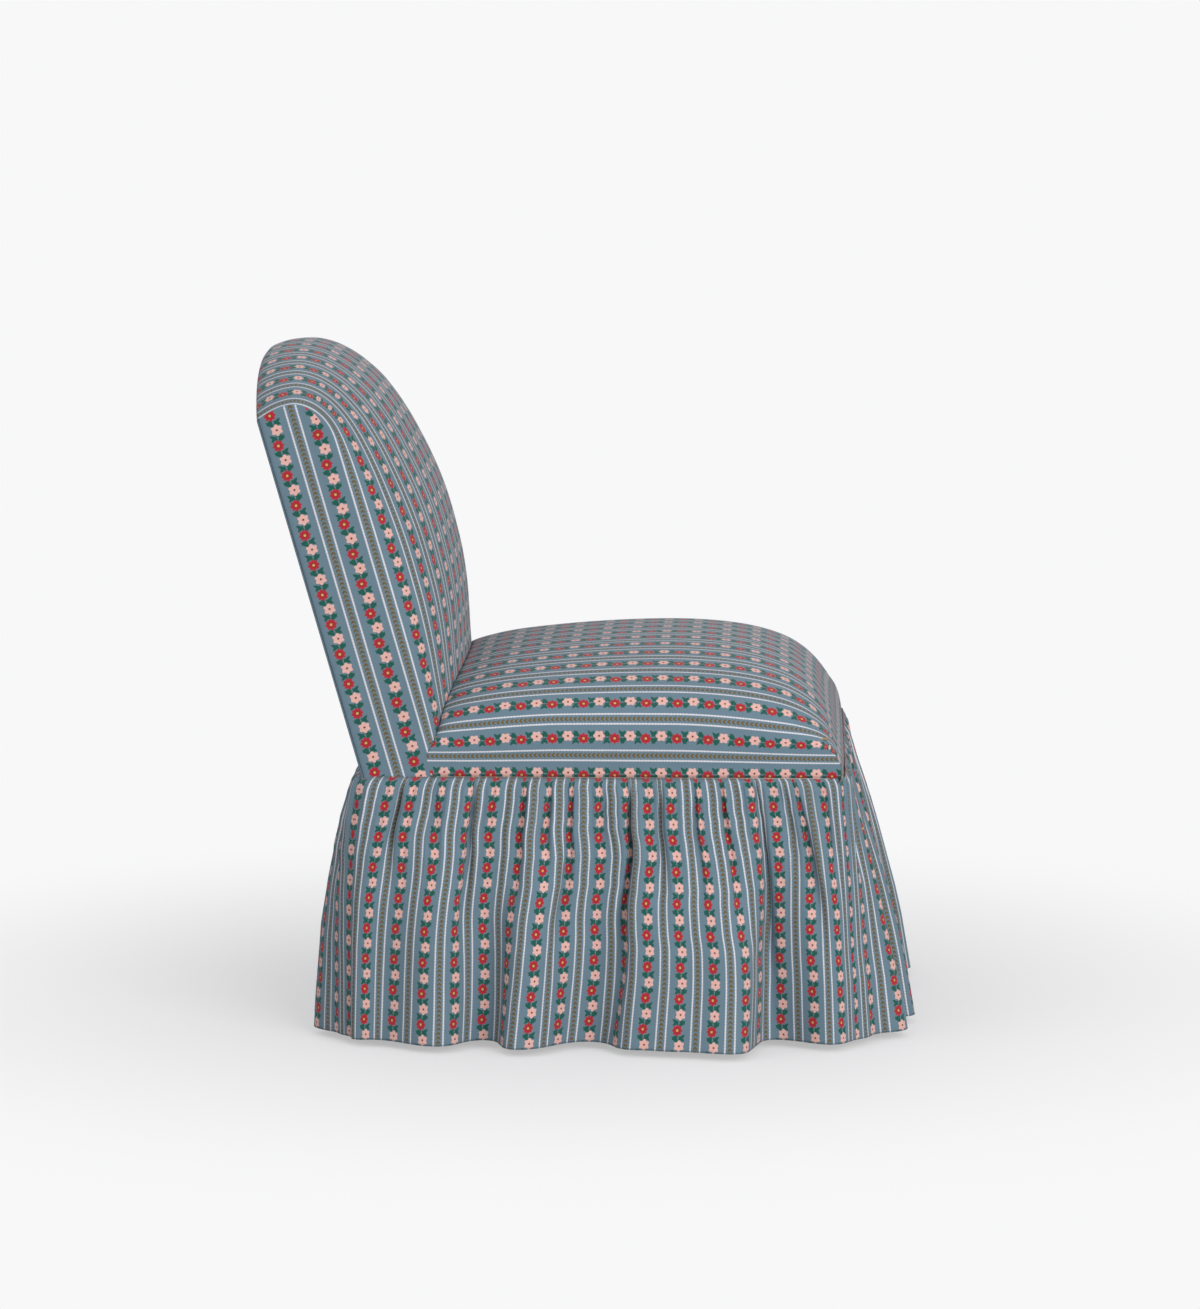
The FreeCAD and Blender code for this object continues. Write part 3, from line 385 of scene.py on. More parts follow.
def leaf_pairs(x, near_red, near_pink, edge):
    """Leaves on the stem over and under each flower, crossed over from one flower to the next."""
    leaf_side = 4.1
    leaf_width = 1.95
    leaves = None
    for near, flip in ((near_red, 1.0), (near_pink, -1.0)):
        for along, side, length in ((7.6, 1, 5.6), (9.8, -1, 5.6), (-7.9, -1, 5.0), (-9.6, 1, 5.0)):
            way = side * flip
            turn = math.atan2(math.copysign(1.0, along), way * 1.25)
            shape = leaf(x, near, way * leaf_side, along, turn, length, leaf_width).inside(edge)
            leaves = shape if leaves is None else leaves.most(shape)
    return leaves


def weave(tree, shader, uv, colour, pitch=0.0008, tone=0.09, height=0.00012):
    """Plain weave: threads both ways, with slubs and a little fading."""
    split = tree.nodes.new("ShaderNodeSeparateXYZ")
    tree.links.new(uv, split.inputs["Vector"])
    warp = (Term(tree, split.outputs["X"]) * (2 * math.pi / pitch)).sine()
    weft = (Term(tree, split.outputs["Y"]) * (2 * math.pi / pitch)).sine()
    threads = warp * weft
    slub_warp = noise(tree, uv, 1.0, 2.0, (1100.0, 60.0, 1.0))
    slub_weft = noise(tree, uv, 1.0, 2.0, (60.0, 1100.0, 1.0))
    fading = noise(tree, uv, 9.0, 3.0)
    slubs = (slub_warp + slub_weft - 1.0) * tone
    light = slubs + (fading - 0.5) * 0.10 + threads * 0.02 + 1.0
    shade = tree.nodes.new("ShaderNodeVectorMath")
    shade.operation = "SCALE"
    if isinstance(colour, tuple):
        shade.inputs[0].default_value = colour[:3]
    else:
        tree.links.new(colour, shade.inputs[0])
    tree.links.new(light.socket, shade.inputs["Scale"])
    tree.links.new(shade.outputs["Vector"], shader.inputs["Base Color"])
    bump = tree.nodes.new("ShaderNodeBump")
    bump.inputs["Strength"].default_value = 0.6
    bump.inputs["Distance"].default_value = height
    tree.links.new((threads + slub_warp * 2.0 + slub_weft * 2.0).socket, bump.inputs["Height"])
    tree.links.new(bump.outputs["Normal"], shader.inputs["Normal"])
    shader.inputs["Roughness"].default_value = 0.92
    shader.inputs["Specular IOR Level"].default_value = 0.25
    shader.inputs["Sheen Weight"].default_value = 0.12
    shader.inputs["Sheen Roughness"].default_value = 0.5


def plain_cloth(name, colour, pitch=0.0009):
    """Woven cloth of one colour."""
    material, tree, shader = new_material(name, colour)
    place = tree.nodes.new("ShaderNodeTexCoord")
    weave(tree, shader, place.outputs["Object"], colour, pitch)
    return material


CLOTH = printed_cloth()
LINING = plain_cloth("lining_cloth", linear(206, 200, 186))


# Crowned pads: seat and back

ROWS = 200
COLUMNS = 56        # from the middle to one side
FINE = 90
CROWD = 3           # how much closer a section's points stand towards its side
SIDE_TOP = 0.4315   # height of the back's rear edge at a side, along the lean
# Where the columns stand, as shares of the cloth from the middle to a side
SHARES = [1 - (1 - column / COLUMNS) ** 1.3 for column in range(COLUMNS + 1)]


def bulge(share, across, up):
    """How far a pad has risen from its side edge, 0, to its middle, 1, at a share of its half width."""
    return max(0.0, 1.0 - abs(share) ** across) ** (1.0 / up)


def back_rise(share, _low=None):
    """Rise of the back's cover, along the lean and forwards: an arch, and a fuller crown."""
    return bulge(share, 2.0, 1.15), bulge(share, 2.0, 2.5)


def seat_rise(share, low):
    """Rise of the seat's cover, along the seat and up: square in front, crowned on top."""
    front = 1.0 - smooth(-0.290, -0.200, low.x)
    crown = bulge(share, 2.4, 3.45 - 1.0 * front)
    square = bulge(share, 5.0, 2.0)
    return crown + (square - crown) * front, crown


def back_place(x, along, depth):
    """A point given along the lean and in front of the outside back."""
    return Vector((x, REAR_SEAM - depth * math.cos(LEAN) + along * math.sin(LEAN),
                   SEAM + depth * math.sin(LEAN) + along * math.cos(LEAN)))


def back_profiles(count=60):
    """The back's front in slices from the middle to a side: height over the floor, depth."""
    lines = list(zip(along_curve(BACK_EDGE, ROWS), along_curve(BACK_MIDDLE, ROWS)))
    slices = []
    for index in range(count + 1):
        share = 1 - (1 - index / count) ** CROWD
        forward, up = back_rise(share)
        line = []
        for low, high in lines[:ROWS * 2 // 3]:
            spot = back_place(0.0, low.x + (high.x - low.x) * forward,
                              low.y + (high.y - low.y) * up)
            line.append((spot.z, spot.y))
        slices.append(sorted(line))
    return slices


def back_front(slices, share, height):
    """Where the back's front stands at a share of the half width and a height over the floor."""
    place = (len(slices) - 1) * (1 - (1 - min(abs(share), 1.0)) ** (1 / CROWD))
    index = min(int(place), len(slices) - 2)
    found = []
    for line in (slices[index], slices[index + 1]):
        after = min(max(bisect.bisect(line, (height, 0.0)), 1), len(line) - 1)
        (z1, y1), (z2, y2) = line[after - 1], line[after]
        part = min(max((height - z1) / (z2 - z1), 0.0), 1.0) if z2 > z1 else 0.0
        found.append(y1 + (y2 - y1) * part)
    return found[0] + (found[1] - found[0]) * (place - index)


def pad_sections(middle_line, edge_line, rise):
    """Sections of a cover from its middle to a side, one for each row, with their lengths."""
    sections = []
    for low, high in zip(edge_line, middle_line):
        fine = []
        for step in range(FINE + 1):
            share = 1 - (1 - step / FINE) ** CROWD
            forward, up = rise(share, low)
            fine.append(Vector((HALF * share, low.x + (high.x - low.x) * forward,
                                low.y + (high.y - low.y) * up)))
        sections.append(spread(fine, SHARES))
    return sections


def laid_cloth(flower_reach, pitch, pull):
    """The rule that gives a place on a pad its place on the flat cloth.

    flower_reach is the run from the pad's middle, over its edge, to the lowest row of flowers.
    """
    repeats = round(2 * flower_reach / pitch) / 2
    scale = repeats * STRIPE / flower_reach
    shift = (repeats % 1.0) * STRIPE
    # The pull is whole between these runs above the lowest flowers, and gone at the last
    full_from, full_to, gone = 0.050, 0.090, 0.250

    def cloth(side, out, along, low):
        above = flower_reach - out
        drawn = pull(low) * smooth(0.0, full_from, above) * (1 - smooth(full_to, gone, above))
        return (side * (out - drawn) * scale + shift, along)
    return cloth


def pad_cover(shell, lines, sections, reach, wall_top, mitre, place, cloth):
    """The cover over a pad, its rows of corners running from side to side."""
    middle_line, edge_line = lines
    runs = [0.0]
    for one, two in zip(middle_line, middle_line[1:]):
        runs.append(runs[-1] + (two - one).length)
    start = runs[ROWS // 2] - middle_line[ROWS // 2].x
    grid = []
    for run, low, (spots, _length) in zip(runs, edge_line, sections):
        ending = mitre(low)
        edge_out = reach + (wall_top - low.y) * (1 - ending)
        middle_along = run - start
        edge_along = low.x + (middle_along - low.x) * ending
        line = []
        for column in range(-COLUMNS, COLUMNS + 1):
            spot = spots[abs(column)]
            side = -1.0 if column < 0 else 1.0
            share = SHARES[abs(column)]
            along = middle_along + (edge_along - middle_along) * share ** 3
            line.append(shell.add(place(side * spot.x, spot.y, spot.z),
                                  cloth(side, share * edge_out, along, low)))
        grid.append(line)
    for one, two in zip(grid, grid[1:]):
        for column in range(2 * COLUMNS):
            shell.face(one[column], one[column + 1], two[column + 1], two[column])
    return grid


def pad_wall(shell, side, rim, edge_line, over, levels, foot, place, cloth):
    """A side wall of a pad, from the numbers of the cover's rim down to the corners at its foot.

    over is the run of the cloth from the pad's middle to the floor's height.
    """
    ease = 0.002        # height under the rim over which the wall draws in
    above = [(index, cloth(side, over - spot.y, spot.x, spot))
             for index, spot in zip(rim, edge_line)]
    for level, inset in levels:
        line = []
        for spot in edge_line:
            height = min(spot.y, level)
            down = (spot.y - height) / max(spot.y - levels[-1][0], 1e-6)
            along = spot.x + (min(max(spot.x, foot[0]), foot[1]) - spot.x) * down
            set_in = inset * min(1.0, (spot.y - height) / ease)
            line.append(shell.add(place(side * (HALF - set_in), along, height),
                                  cloth(side, over - height, along, spot)))
        for row in range(ROWS):
            shell.face(above[row], above[row + 1], line[row + 1], line[row])
        above = line
    return above


def crowned_pad(name, lines, rise, mitre, levels, foot, place, flowers, pitch, pull):
    """A crowned pad in printed cloth: a cover spanned over a middle line, and two side walls.

    lines are the middle line and the side edge. rise says how far a place across has risen from
    the edge to the middle. mitre says how far a row's cloth ends at a mitre instead of running
    on down the wall. levels are the wall's heights and how far each is set in, and foot is the
    run of the wall at its foot. flowers is the height on the wall of its lowest row of flowers,
    pitch the distance between rows, and pull how far the cloth is drawn down beside a row.
    """
    middle_line = along_curve(lines[0], ROWS)
    edge_line = along_curve(lines[1], ROWS)
    sections = pad_sections(middle_line, edge_line, rise)
    reach = max(length for _spots, length in sections[ROWS // 3:ROWS * 2 // 3])
    wall_top = max(spot.y for spot in edge_line)
    over = reach + wall_top
    cloth = laid_cloth(over - flowers, pitch, pull)
    shell = Shell()
    grid = pad_cover(shell, (middle_line, edge_line), sections, reach, wall_top, mitre, place,
                     cloth)
    left, right = [pad_wall(shell, side, [line[column][0] for line in grid], edge_line, over,
                            levels, foot, place, cloth)
                   for side, column in ((-1.0, 0), (1.0, -1))]
    # The underside, one face round the feet of the walls and the ends of the cover
    outline = left + grid[-1][1:-1] + right[::-1] + grid[0][1:-1][::-1]
    shell.face(*((index, shell.points[index].xy) for index, _flat in outline))
    piece = make_piece(name, shell.points, shell.faces, shell.uvs, CLOTH)
    close_mesh(piece)
    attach(piece, "root")
    return piece


def even_levels(top, last):
    """Heights of a plain stretch of wall, from just under its top to the last."""
    count = 14
    return [(top + (last - top) * step / count, 0.0) for step in range(1, count + 1)]


def seat_pad():
    """The tight seat: crowned, mitred at its front corners, ended against the back."""
    slices = back_profiles()
    clearance = 0.0008
    flowers = SEAM + 0.004

    def mitre(low):
        return 1.0 - smooth(-0.292, -0.275, low.x)

    def pull(low):
        front = 0.010 * (1 - smooth(-0.290, -0.100, low.x))
        return front + 0.006 * smooth(0.020, 0.160, low.x)

    def place(x, along, height):
        return Vector((x, min(along, back_front(slices, x / HALF, height) - clearance), height))
    # The wall draws in to the seam, and runs on behind the skirt
    levels = even_levels(0.3495, flowers) + [
        (SEAM + 0.002, 0.0008), (SEAM + 0.0005, 0.0022), (SEAM - 0.002, 0.0036),
        (SEAM - 0.010, 0.004), (COVER_FOOT, 0.004)]
    piece = crowned_pad("seat", (SEAT_MIDDLE, SEAT_EDGE), seat_rise, mitre, levels,
                        (-0.2950, 0.200), place, flowers, STRIPE, pull)
    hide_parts("seat_cover", "seat_batting", "seat_foam")


def back_pad():
    """The back: crowned in front, arched and mitred at its top corners."""
    def mitre(low):
        return smooth(0.385, 0.433, low.x) if low.y > 0.040 else 1.0

    def pull(_low):
        return 0.0
    levels = even_levels(0.080, 0.006) + [(0.0035, 0.0004), (0.002, 0.0014), (0.0015, 0.003)]
    flowers = 0.0176
    pitch = 0.047
    piece = crowned_pad("back", (BACK_MIDDLE, BACK_EDGE), back_rise, mitre, levels,
                        (-0.076, SIDE_TOP), back_place, flowers, pitch, pull)
    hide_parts("inside_back_cover", "back_batting", "back_foam")


# Sheets

def grid_faces(rows, count, flats):
    """Faces between rows of points, count to a row, and the flat place of each corner."""
    faces = []
    uvs = []
    for row in range(rows):
        for column in range(count - 1):
            start = row * count + column
            corners = (start, start + 1, start + count + 1, start + count)
            faces.append(corners)
            uvs.append([flats[index] for index in corners])
    return faces, uvs


def thicken(piece, thickness, outside):
    """Give a sheet its thickness, inwards from the face that looks to a point outside."""
    pick(piece)
    mesh = piece.data
    face = mesh.polygons[len(mesh.polygons) // 2]
    if face.normal.dot(outside - face.center) < 0:
        mesh.flip_normals()
    wall = piece.modifiers.new("wall", "SOLIDIFY")
    wall.thickness = thickness
    wall.offset = -1
    wall.use_even_offset = True
    bpy.ops.object.modifier_apply(modifier="wall")


def outside_back():
    """The flat cloth panel behind the back, its edges turned under."""
    columns = 80
    rows = 110
    inset = 0.0012          # from the edge of the cover in front of it
    turn_in = 0.004         # how far its rounded edge reaches in
    half = HALF - inset
    low = -0.050
    crest = 0.0545          # how far the back's arch stands over its sides
    points = []
    flats = []
    for row in range(rows + 1):
        for column in range(columns + 1):
            across = math.sin(math.pi / 2 * (2 * column / columns - 1))
            up = (1 - math.cos(math.pi * row / rows)) / 2
            x = half * across
            top = SIDE_TOP + crest * back_rise(across)[0] - inset
            height = low + (top - low) * up
            rim = min(half - abs(x), top - height)
            depth = 0.0012 * (1 - smooth(0.0, turn_in, rim)) - 0.0008
            points.append(back_place(x, height, depth))
            flats.append((x + STRIPE / 2, height))
    faces, uvs = grid_faces(rows, columns + 1, flats)
    piece = make_piece("outside_back", points, faces, uvs, CLOTH)
    thicken(piece, 0.001, back_place(0.0, 0.2, -1.0))
    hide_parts("outside_back_cover")
    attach(piece, "root")


# Skirt

# How much of its full reach the skirt has at a share of its height, from the seam down
FLARE = ((0.0, 0.0), (0.015, 0.15), (0.05, 0.25), (0.1, 0.34), (0.2, 0.50), (0.3, 0.63),
         (0.5, 0.80), (0.66, 0.90), (1.0, 1.0))
# The front hangs straighter
FRONT_FLARE = ((0.0, 0.0), (0.03, 0.07), (0.14, 0.19), (0.23, 0.31), (0.32, 0.42), (0.41, 0.52),
               (0.5, 0.61), (0.6, 0.70), (0.78, 0.86), (1.0, 1.0))
# The same of the depth of its folds
FOLD = ((0.0, 0.02), (0.13, 0.17), (0.36, 0.46), (0.66, 0.80), (1.0, 1.0))
SEAM_REACH = 0.0015     # how far the gathers stand out where they are sewn
FLAT = 0.850            # flat width of one panel
MEAN_REACH = 0.058      # how far the hem stands out between its folds
STEEPEST = 0.95         # slope across the cloth past which a fold takes up no more width
PUCKER = 0.0026         # depth of the small gathers under the seam
COVER_THICKNESS = 0.0012
LINING_THICKNESS = 0.0006
LINING_CLEARANCE = 0.0035
LINING_DRAW = 0.017     # how much further in the lining hangs behind the pleats
LINING_LIFT = 0.014     # how much shorter the lining is
# Folds at the hem, from the rear corner to the front one: place on the flat cloth, stand-out
SIDE_FOLDS = ((0.000, 0.030), (0.028, 0.040), (0.062, 0.034), (0.155, 0.070), (0.227, 0.032),
              (0.301, 0.085), (0.405, 0.036), (0.486, 0.082), (0.540, 0.090), (0.610, 0.102),
              (0.713, 0.018), (0.791, 0.044), (0.850, 0.030))
# The same of the front, from the middle to a corner
FRONT_FOLDS = ((0.000, 0.040), (0.060, 0.078), (0.125, 0.034), (0.200, 0.086), (0.262, 0.040),
               (0.318, 0.076), (0.385, 0.034), (0.425, 0.030))
REAR_SHARE = 0.68       # how much of the front's folds the rear has
# Pleats that run down from the seam: place there, place where they end, share of the height
# where they end, depth
SIDE_PLEATS = (
    (0.070, 0.062, 0.50, 0.01050), (0.128, 0.134, 0.35, 0.00700), (0.190, 0.196, 0.80, 0.01225),
    (0.275, 0.266, 0.55, 0.01050), (0.322, 0.310, 0.45, 0.00875), (0.361, 0.345, 0.85, 0.01050),
    (0.414, 0.408, 0.35, 0.00700), (0.463, 0.436, 1.10, 0.01925), (0.519, 0.510, 0.60, 0.01225),
    (0.581, 0.566, 0.60, 0.00875), (0.627, 0.634, 0.70, 0.01050), (0.688, 0.704, 1.10, 0.01925),
    (0.736, 0.745, 0.40, 0.00700), (0.764, 0.785, 0.80, 0.01225), (0.815, 0.820, 0.50, 0.00700))
END_PLEATS = (
    (0.052, 0.060, 0.45, 0.00875), (0.118, 0.108, 0.90, 0.01400), (0.180, 0.186, 0.50, 0.00875),
    (0.236, 0.240, 0.40, 0.00700), (0.292, 0.300, 1.00, 0.01575), (0.352, 0.346, 0.55, 0.01050),
    (0.402, 0.412, 0.35, 0.00700), (0.448, 0.440, 0.60, 0.01050), (0.520, 0.534, 0.95, 0.01575),
    (0.578, 0.572, 0.45, 0.00875), (0.640, 0.650, 0.80, 0.01400), (0.700, 0.692, 0.40, 0.00700),
    (0.752, 0.744, 0.90, 0.01400), (0.806, 0.812, 0.50, 0.00875))


def puckers(place, seed):
    """Uneven small gathers across the flat cloth, from -1 to 1."""
    slow = math.sin(place * 47.0 + seed) + math.sin(place * 83.0 + 2.1 * seed)
    return (math.sin(place * 410.0 + 1.7 * slow + seed) * 0.6
            + math.sin(place * 655.0 + 1.3 * slow + 3.0 * seed) * 0.4)


def pleat_depth(pleats, place, share):
    """How far the pleats set the cloth back at a place, at a share of the height."""
    depth = 0.0
    for top, foot, end, deep in pleats:
        if share < end:
            middle = top + (foot - top) * share / end
            width = 0.0065 + 0.010 * share
            fade = 1 - smooth(0.35 * end, end, share)
            depth += deep * fade * math.exp(-((place - middle) / width) ** 2)
    return depth


def flares(share):
    """The skirt's flare at a share of its height: where it puffs out, and where it hangs."""
    return at(FLARE, share) * 0.7 + smooth_through(FLARE, share) * 0.3, at(FRONT_FLARE, share)


def hang_row(folds, pleats, puff, seed, share, columns):
    """How far a row stands out at each column: with its folds alone, as laid, and as hung.

    Laid, the pleats are at their full depth from the seam on, so that the stripes run straight
    into them. Hung, they deepen from nothing at the seam, and small gathers lie between them.
    """
    gathers_whole = 0.03        # share of the height where the gathers are deepest
    gathers_gone = 0.55
    pleats_whole = 0.14
    calm_end = 0.012            # run beside a corner that is left smooth
    keep = 0.15                 # share of a fold's stand-out that a pleat leaves
    full, hanging = flares(share)
    fold = at(FOLD, share)
    gather = (smooth(0.0, gathers_whole, share)
              * (1 - smooth(gathers_whole, gathers_gone, share)))
    begun = smooth(0.0, pleats_whole, share)
    plain = []
    laid = []
    hung = []
    for column in range(columns + 1):
        place = FLAT * column / columns
        calm = smooth(0.0, calm_end, min(place, FLAT - place))
        flare = hanging + (full - hanging) * puff(place / FLAT)
        height = SEAM_REACH + flare * (MEAN_REACH - SEAM_REACH)
        height += fold * (smooth_through(folds, place) - MEAN_REACH)
        depth = pleat_depth(pleats, place, share)
        ruffle = PUCKER * gather * puckers(place, seed) - begun * depth
        plain.append(height)
        laid.append(height - depth * calm)
        hung.append(height + max(ruffle * calm, (1 - keep) * (SEAM_REACH - height)))
    return plain, laid, hung


def taken_up(heights, width):
    """How far across each column stands, once the folds have taken up their cloth."""
    runs = [0.0]
    for one, two in zip(heights, heights[1:]):
        slope = min(abs(two - one) / width, STEEPEST)
        runs.append(runs[-1] + math.sqrt(1 - slope * slope))
    return runs


def skirt_panel(name, folds, pleats, puff, length, frame_of, seed, lining=False):
    """One gathered panel or its lining, from the middle of one corner to the middle of the next.

    A lining has half the columns, no pleats and a higher hem, and hangs inside its panel.
    """
    columns = 380
    rows = 40 if lining else 84
    kept = range(0, columns + 1, 2 if lining else 1)
    straight = length - 2 * CORNER
    drop = SEAM - HEM - (LINING_LIFT if lining else 0.0)
    points = []
    flats = []
    down = 0.0
    last_reach = 0.0
    for row in range(rows + 1):
        t = row / rows
        share = t * drop / (SEAM - HEM)
        full, hanging = flares(share)
        reach = SEAM_REACH + (full + hanging) / 2 * (MEAN_REACH - SEAM_REACH)
        if row:
            down += math.hypot(drop / rows, reach - last_reach)
        last_reach = reach
        plain, laid, hung = hang_row(folds, pleats, puff, seed, share, columns)
        runs = taken_up(laid, FLAT / columns)
        turn = (CORNER + reach) * math.pi / 4
        span = straight + 2 * turn
        draw = smooth(0.0, 0.16, share) * (1 - smooth(0.35, 1.05, share))
        inside = LINING_CLEARANCE + LINING_DRAW * draw
        for column in kept:
            base = span * runs[column] / runs[-1]
            height = hung[column]
            if lining:
                height = max(plain[column] - inside, SEAM_REACH - LINING_CLEARANCE)
            points.append(frame_of(base, turn, straight, height, CORNER + reach)
                          + Vector((0, 0, SEAM - drop * t)))
            flats.append((FLAT * column / columns, -down))
    faces, uvs = grid_faces(rows, len(kept), flats)
    piece = make_piece(name, points, faces, uvs, LINING if lining else CLOTH)
    middle = sum((Vector(p) for p in points), Vector()) / len(points)
    thicken(piece, LINING_THICKNESS if lining else COVER_THICKNESS,
            Vector((middle.x * 4, middle.y * 4, middle.z)))
    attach(piece, "root")
    return piece, down


def corner_path(origin, along, outward):
    """Turns a run along a panel into a place, round half a corner at each end."""
    def place(base, turn, straight, height, radius):
        if base < turn:
            angle = (turn - base) / radius
            centre = origin - outward * CORNER
            return centre + (outward * math.cos(angle) - along * math.sin(angle)) * (CORNER + height)
        if base > turn + straight:
            angle = (base - turn - straight) / radius
            centre = origin + along * straight - outward * CORNER
            return centre + (outward * math.cos(angle) + along * math.sin(angle)) * (CORNER + height)
        return origin + along * (base - turn) + outward * height
    return place


def mirrored(folds):
    """Folds from the middle to a corner, made whole from corner to corner."""
    half = [(FLAT / 2 + place, height) for place, height in folds]
    other = [(FLAT / 2 - place, height) for place, height in reversed(folds[1:])]
    return tuple(other + half)


def skirt():
    """Four gathered panels and their linings, meeting at the corners."""
    corner = FRONT_FOLDS[-1][1]
    front_folds = mirrored(FRONT_FOLDS)
    rear_folds = tuple((place, corner + REAR_SHARE * (height - corner))
                       for place, height in front_folds)
    forwards = Vector((0, -1, 0))
    rightwards = Vector((1, 0, 0))
    side_rear = REAR_SEAM - CORNER
    left_end = -HALF + CORNER

    def side_puff(share):
        return 1.0 - smooth(0.55, 0.97, share)

    def hangs(_share):
        return 0.0

    def puffs(_share):
        return 1.0
    panels = (
        ("left", SIDE_FOLDS, SIDE_PLEATS, side_puff, SEAT_DEPTH,
         corner_path(Vector((-HALF, side_rear, 0)), forwards, -rightwards), 1.0),
        ("right", SIDE_FOLDS, SIDE_PLEATS, side_puff, SEAT_DEPTH,
         corner_path(Vector((HALF, side_rear, 0)), forwards, rightwards), 1.0),
        ("front", front_folds, END_PLEATS, hangs, 2 * HALF,
         corner_path(Vector((left_end, FRONT_SEAM, 0)), rightwards, forwards), 2.3),
        ("rear", rear_folds, END_PLEATS, puffs, 2 * HALF,
         corner_path(Vector((left_end, REAR_SEAM, 0)), rightwards, -forwards), 4.1),
    )
    for side, *hanging in panels:
        panel, down = skirt_panel("skirt_panel_" + side, *hanging)
        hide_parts("skirt_" + side)
        lining, down = skirt_panel("skirt_lining_sheet_" + side, *hanging, lining=True)
        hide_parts("skirt_lining_" + side)


# Finishes of the frame and the filling

def wood(name, pale, dark, ring=26.0, roughness=0.5):
    """Wood with its grain along the height, in two tones."""
    material, tree, shader = new_material(name, pale, roughness)
    place = tree.nodes.new("ShaderNodeTexCoord")
    mapping = tree.nodes.new("ShaderNodeMapping")
    mapping.inputs["Scale"].default_value = (1.0, 1.0, 0.12)
    tree.links.new(place.outputs["Object"], mapping.inputs["Vector"])
    grain = noise(tree, mapping.outputs["Vector"], ring * 3, 6.0)
    fine = noise(tree, mapping.outputs["Vector"], ring * 24, 2.0)
    ramp = tree.nodes.new("ShaderNodeValToRGB")
    ramp.color_ramp.elements[0].color = dark
    ramp.color_ramp.elements[1].color = pale
    ramp.color_ramp.elements[0].position = 0.35
    ramp.color_ramp.elements[1].position = 0.65
    tree.links.new((grain * 0.7 + fine * 0.3).socket, ramp.inputs["Fac"])
    tree.links.new(ramp.outputs["Color"], shader.inputs["Base Color"])
    bump = tree.nodes.new("ShaderNodeBump")
    bump.inputs["Strength"].default_value = 0.3
    bump.inputs["Distance"].default_value = 0.0003
    tree.links.new(fine.socket, bump.inputs["Height"])
    tree.links.new(bump.outputs["Normal"], shader.inputs["Normal"])
    return material


def speckled(name, colour, roughness, metallic=0.0, scale=500.0, tone=0.2):
    """A finish with fine mottling, for metal, plastic, card and wadding."""
    material, tree, shader = new_material(name, colour, roughness)
    place = tree.nodes.new("ShaderNodeTexCoord")
    fine = noise(tree, place.outputs["Object"], scale, 4.0)
    shade = tree.nodes.new("ShaderNodeVectorMath")
    shade.operation = "SCALE"
    shade.inputs[0].default_value = colour[:3]
    tree.links.new(((fine - 0.5) * tone + 1.0).socket, shade.inputs["Scale"])
    tree.links.new(shade.outputs["Vector"], shader.inputs["Base Color"])
    shader.inputs["Metallic"].default_value = metallic
    bump = tree.nodes.new("ShaderNodeBump")
    bump.inputs["Strength"].default_value = 0.25
    bump.inputs["Distance"].default_value = 0.0002
    tree.links.new(fine.socket, bump.inputs["Height"])
    tree.links.new(bump.outputs["Normal"], shader.inputs["Normal"])
    return material


def finish_frame():
    """Finishes for every piece of the frame, springs, fillings and hardware."""
    finishes = {
        "lining_cotton": LINING,
        "cover_fabric": CLOTH,
        "wadding": speckled("white_wadding", linear(236, 236, 232), 0.95, scale=260.0),
        "cushion_foam": speckled("cushion_foam", linear(232, 222, 190), 0.95, scale=700.0),
        "burlap": plain_cloth("jute_burlap", linear(168, 138, 98), 0.0022),
        "dust_cloth": plain_cloth("dust_cloth", linear(44, 44, 47), 0.0012),
        "tack_card": speckled("tack_card", linear(168, 148, 116), 0.85, scale=300.0),
        "spring_steel": speckled("spring_steel", linear(92, 92, 95), 0.42, 1.0),
        "zinc_steel": speckled("zinc_steel", linear(196, 198, 196), 0.35, 1.0),
        "glide_nylon": speckled("glide_nylon", linear(58, 54, 50), 0.5),
        "leg_wood": wood("stained_beech", linear(112, 74, 48), linear(78, 48, 30), roughness=0.4),
        "dowel_beech": wood("dowel_beech", linear(214, 180, 138), linear(190, 152, 108)),
        "frame_wood": wood("frame_wood", linear(206, 178, 138), linear(176, 142, 102),
                           roughness=0.6),
    }
    slots = {part["node"]: part["material_slot"] for part in frame["record"]["subparts"]}
    for node, item in frame["nodes"].items():
        item.data.materials.clear()
        item.data.materials.append(finishes[slots[node]])


# Room, light and camera

def seen_directly(tree):
    """1 for rays from the camera, and for those that metal and glass send on."""
    path = tree.nodes.new("ShaderNodeLightPath")
    seen = Term(tree, path.outputs["Is Camera Ray"])
    for name in ("Is Glossy Ray", "Is Transmission Ray"):
        seen = seen.most(Term(tree, path.outputs[name]))
    return seen


def mix_shaders(tree, factor, one, two):
    """One shader where the factor is 0, the other where it is 1."""
    mix = tree.nodes.new("ShaderNodeMixShader")
    tree.links.new(factor.socket, mix.inputs["Fac"])
    tree.links.new(one, mix.inputs[1])
    tree.links.new(two, mix.inputs[2])
    return mix.outputs["Shader"]


PALE = linear(248, 248, 249)            # the backdrop
FLOOR_SEEN = linear(250, 250, 251)
FLOOR_LIT = linear(140, 140, 141)       # the floor as it lights the chair from below
SHADOW_SHARE = 0.55     # how much of its shadow the floor near the chair shows


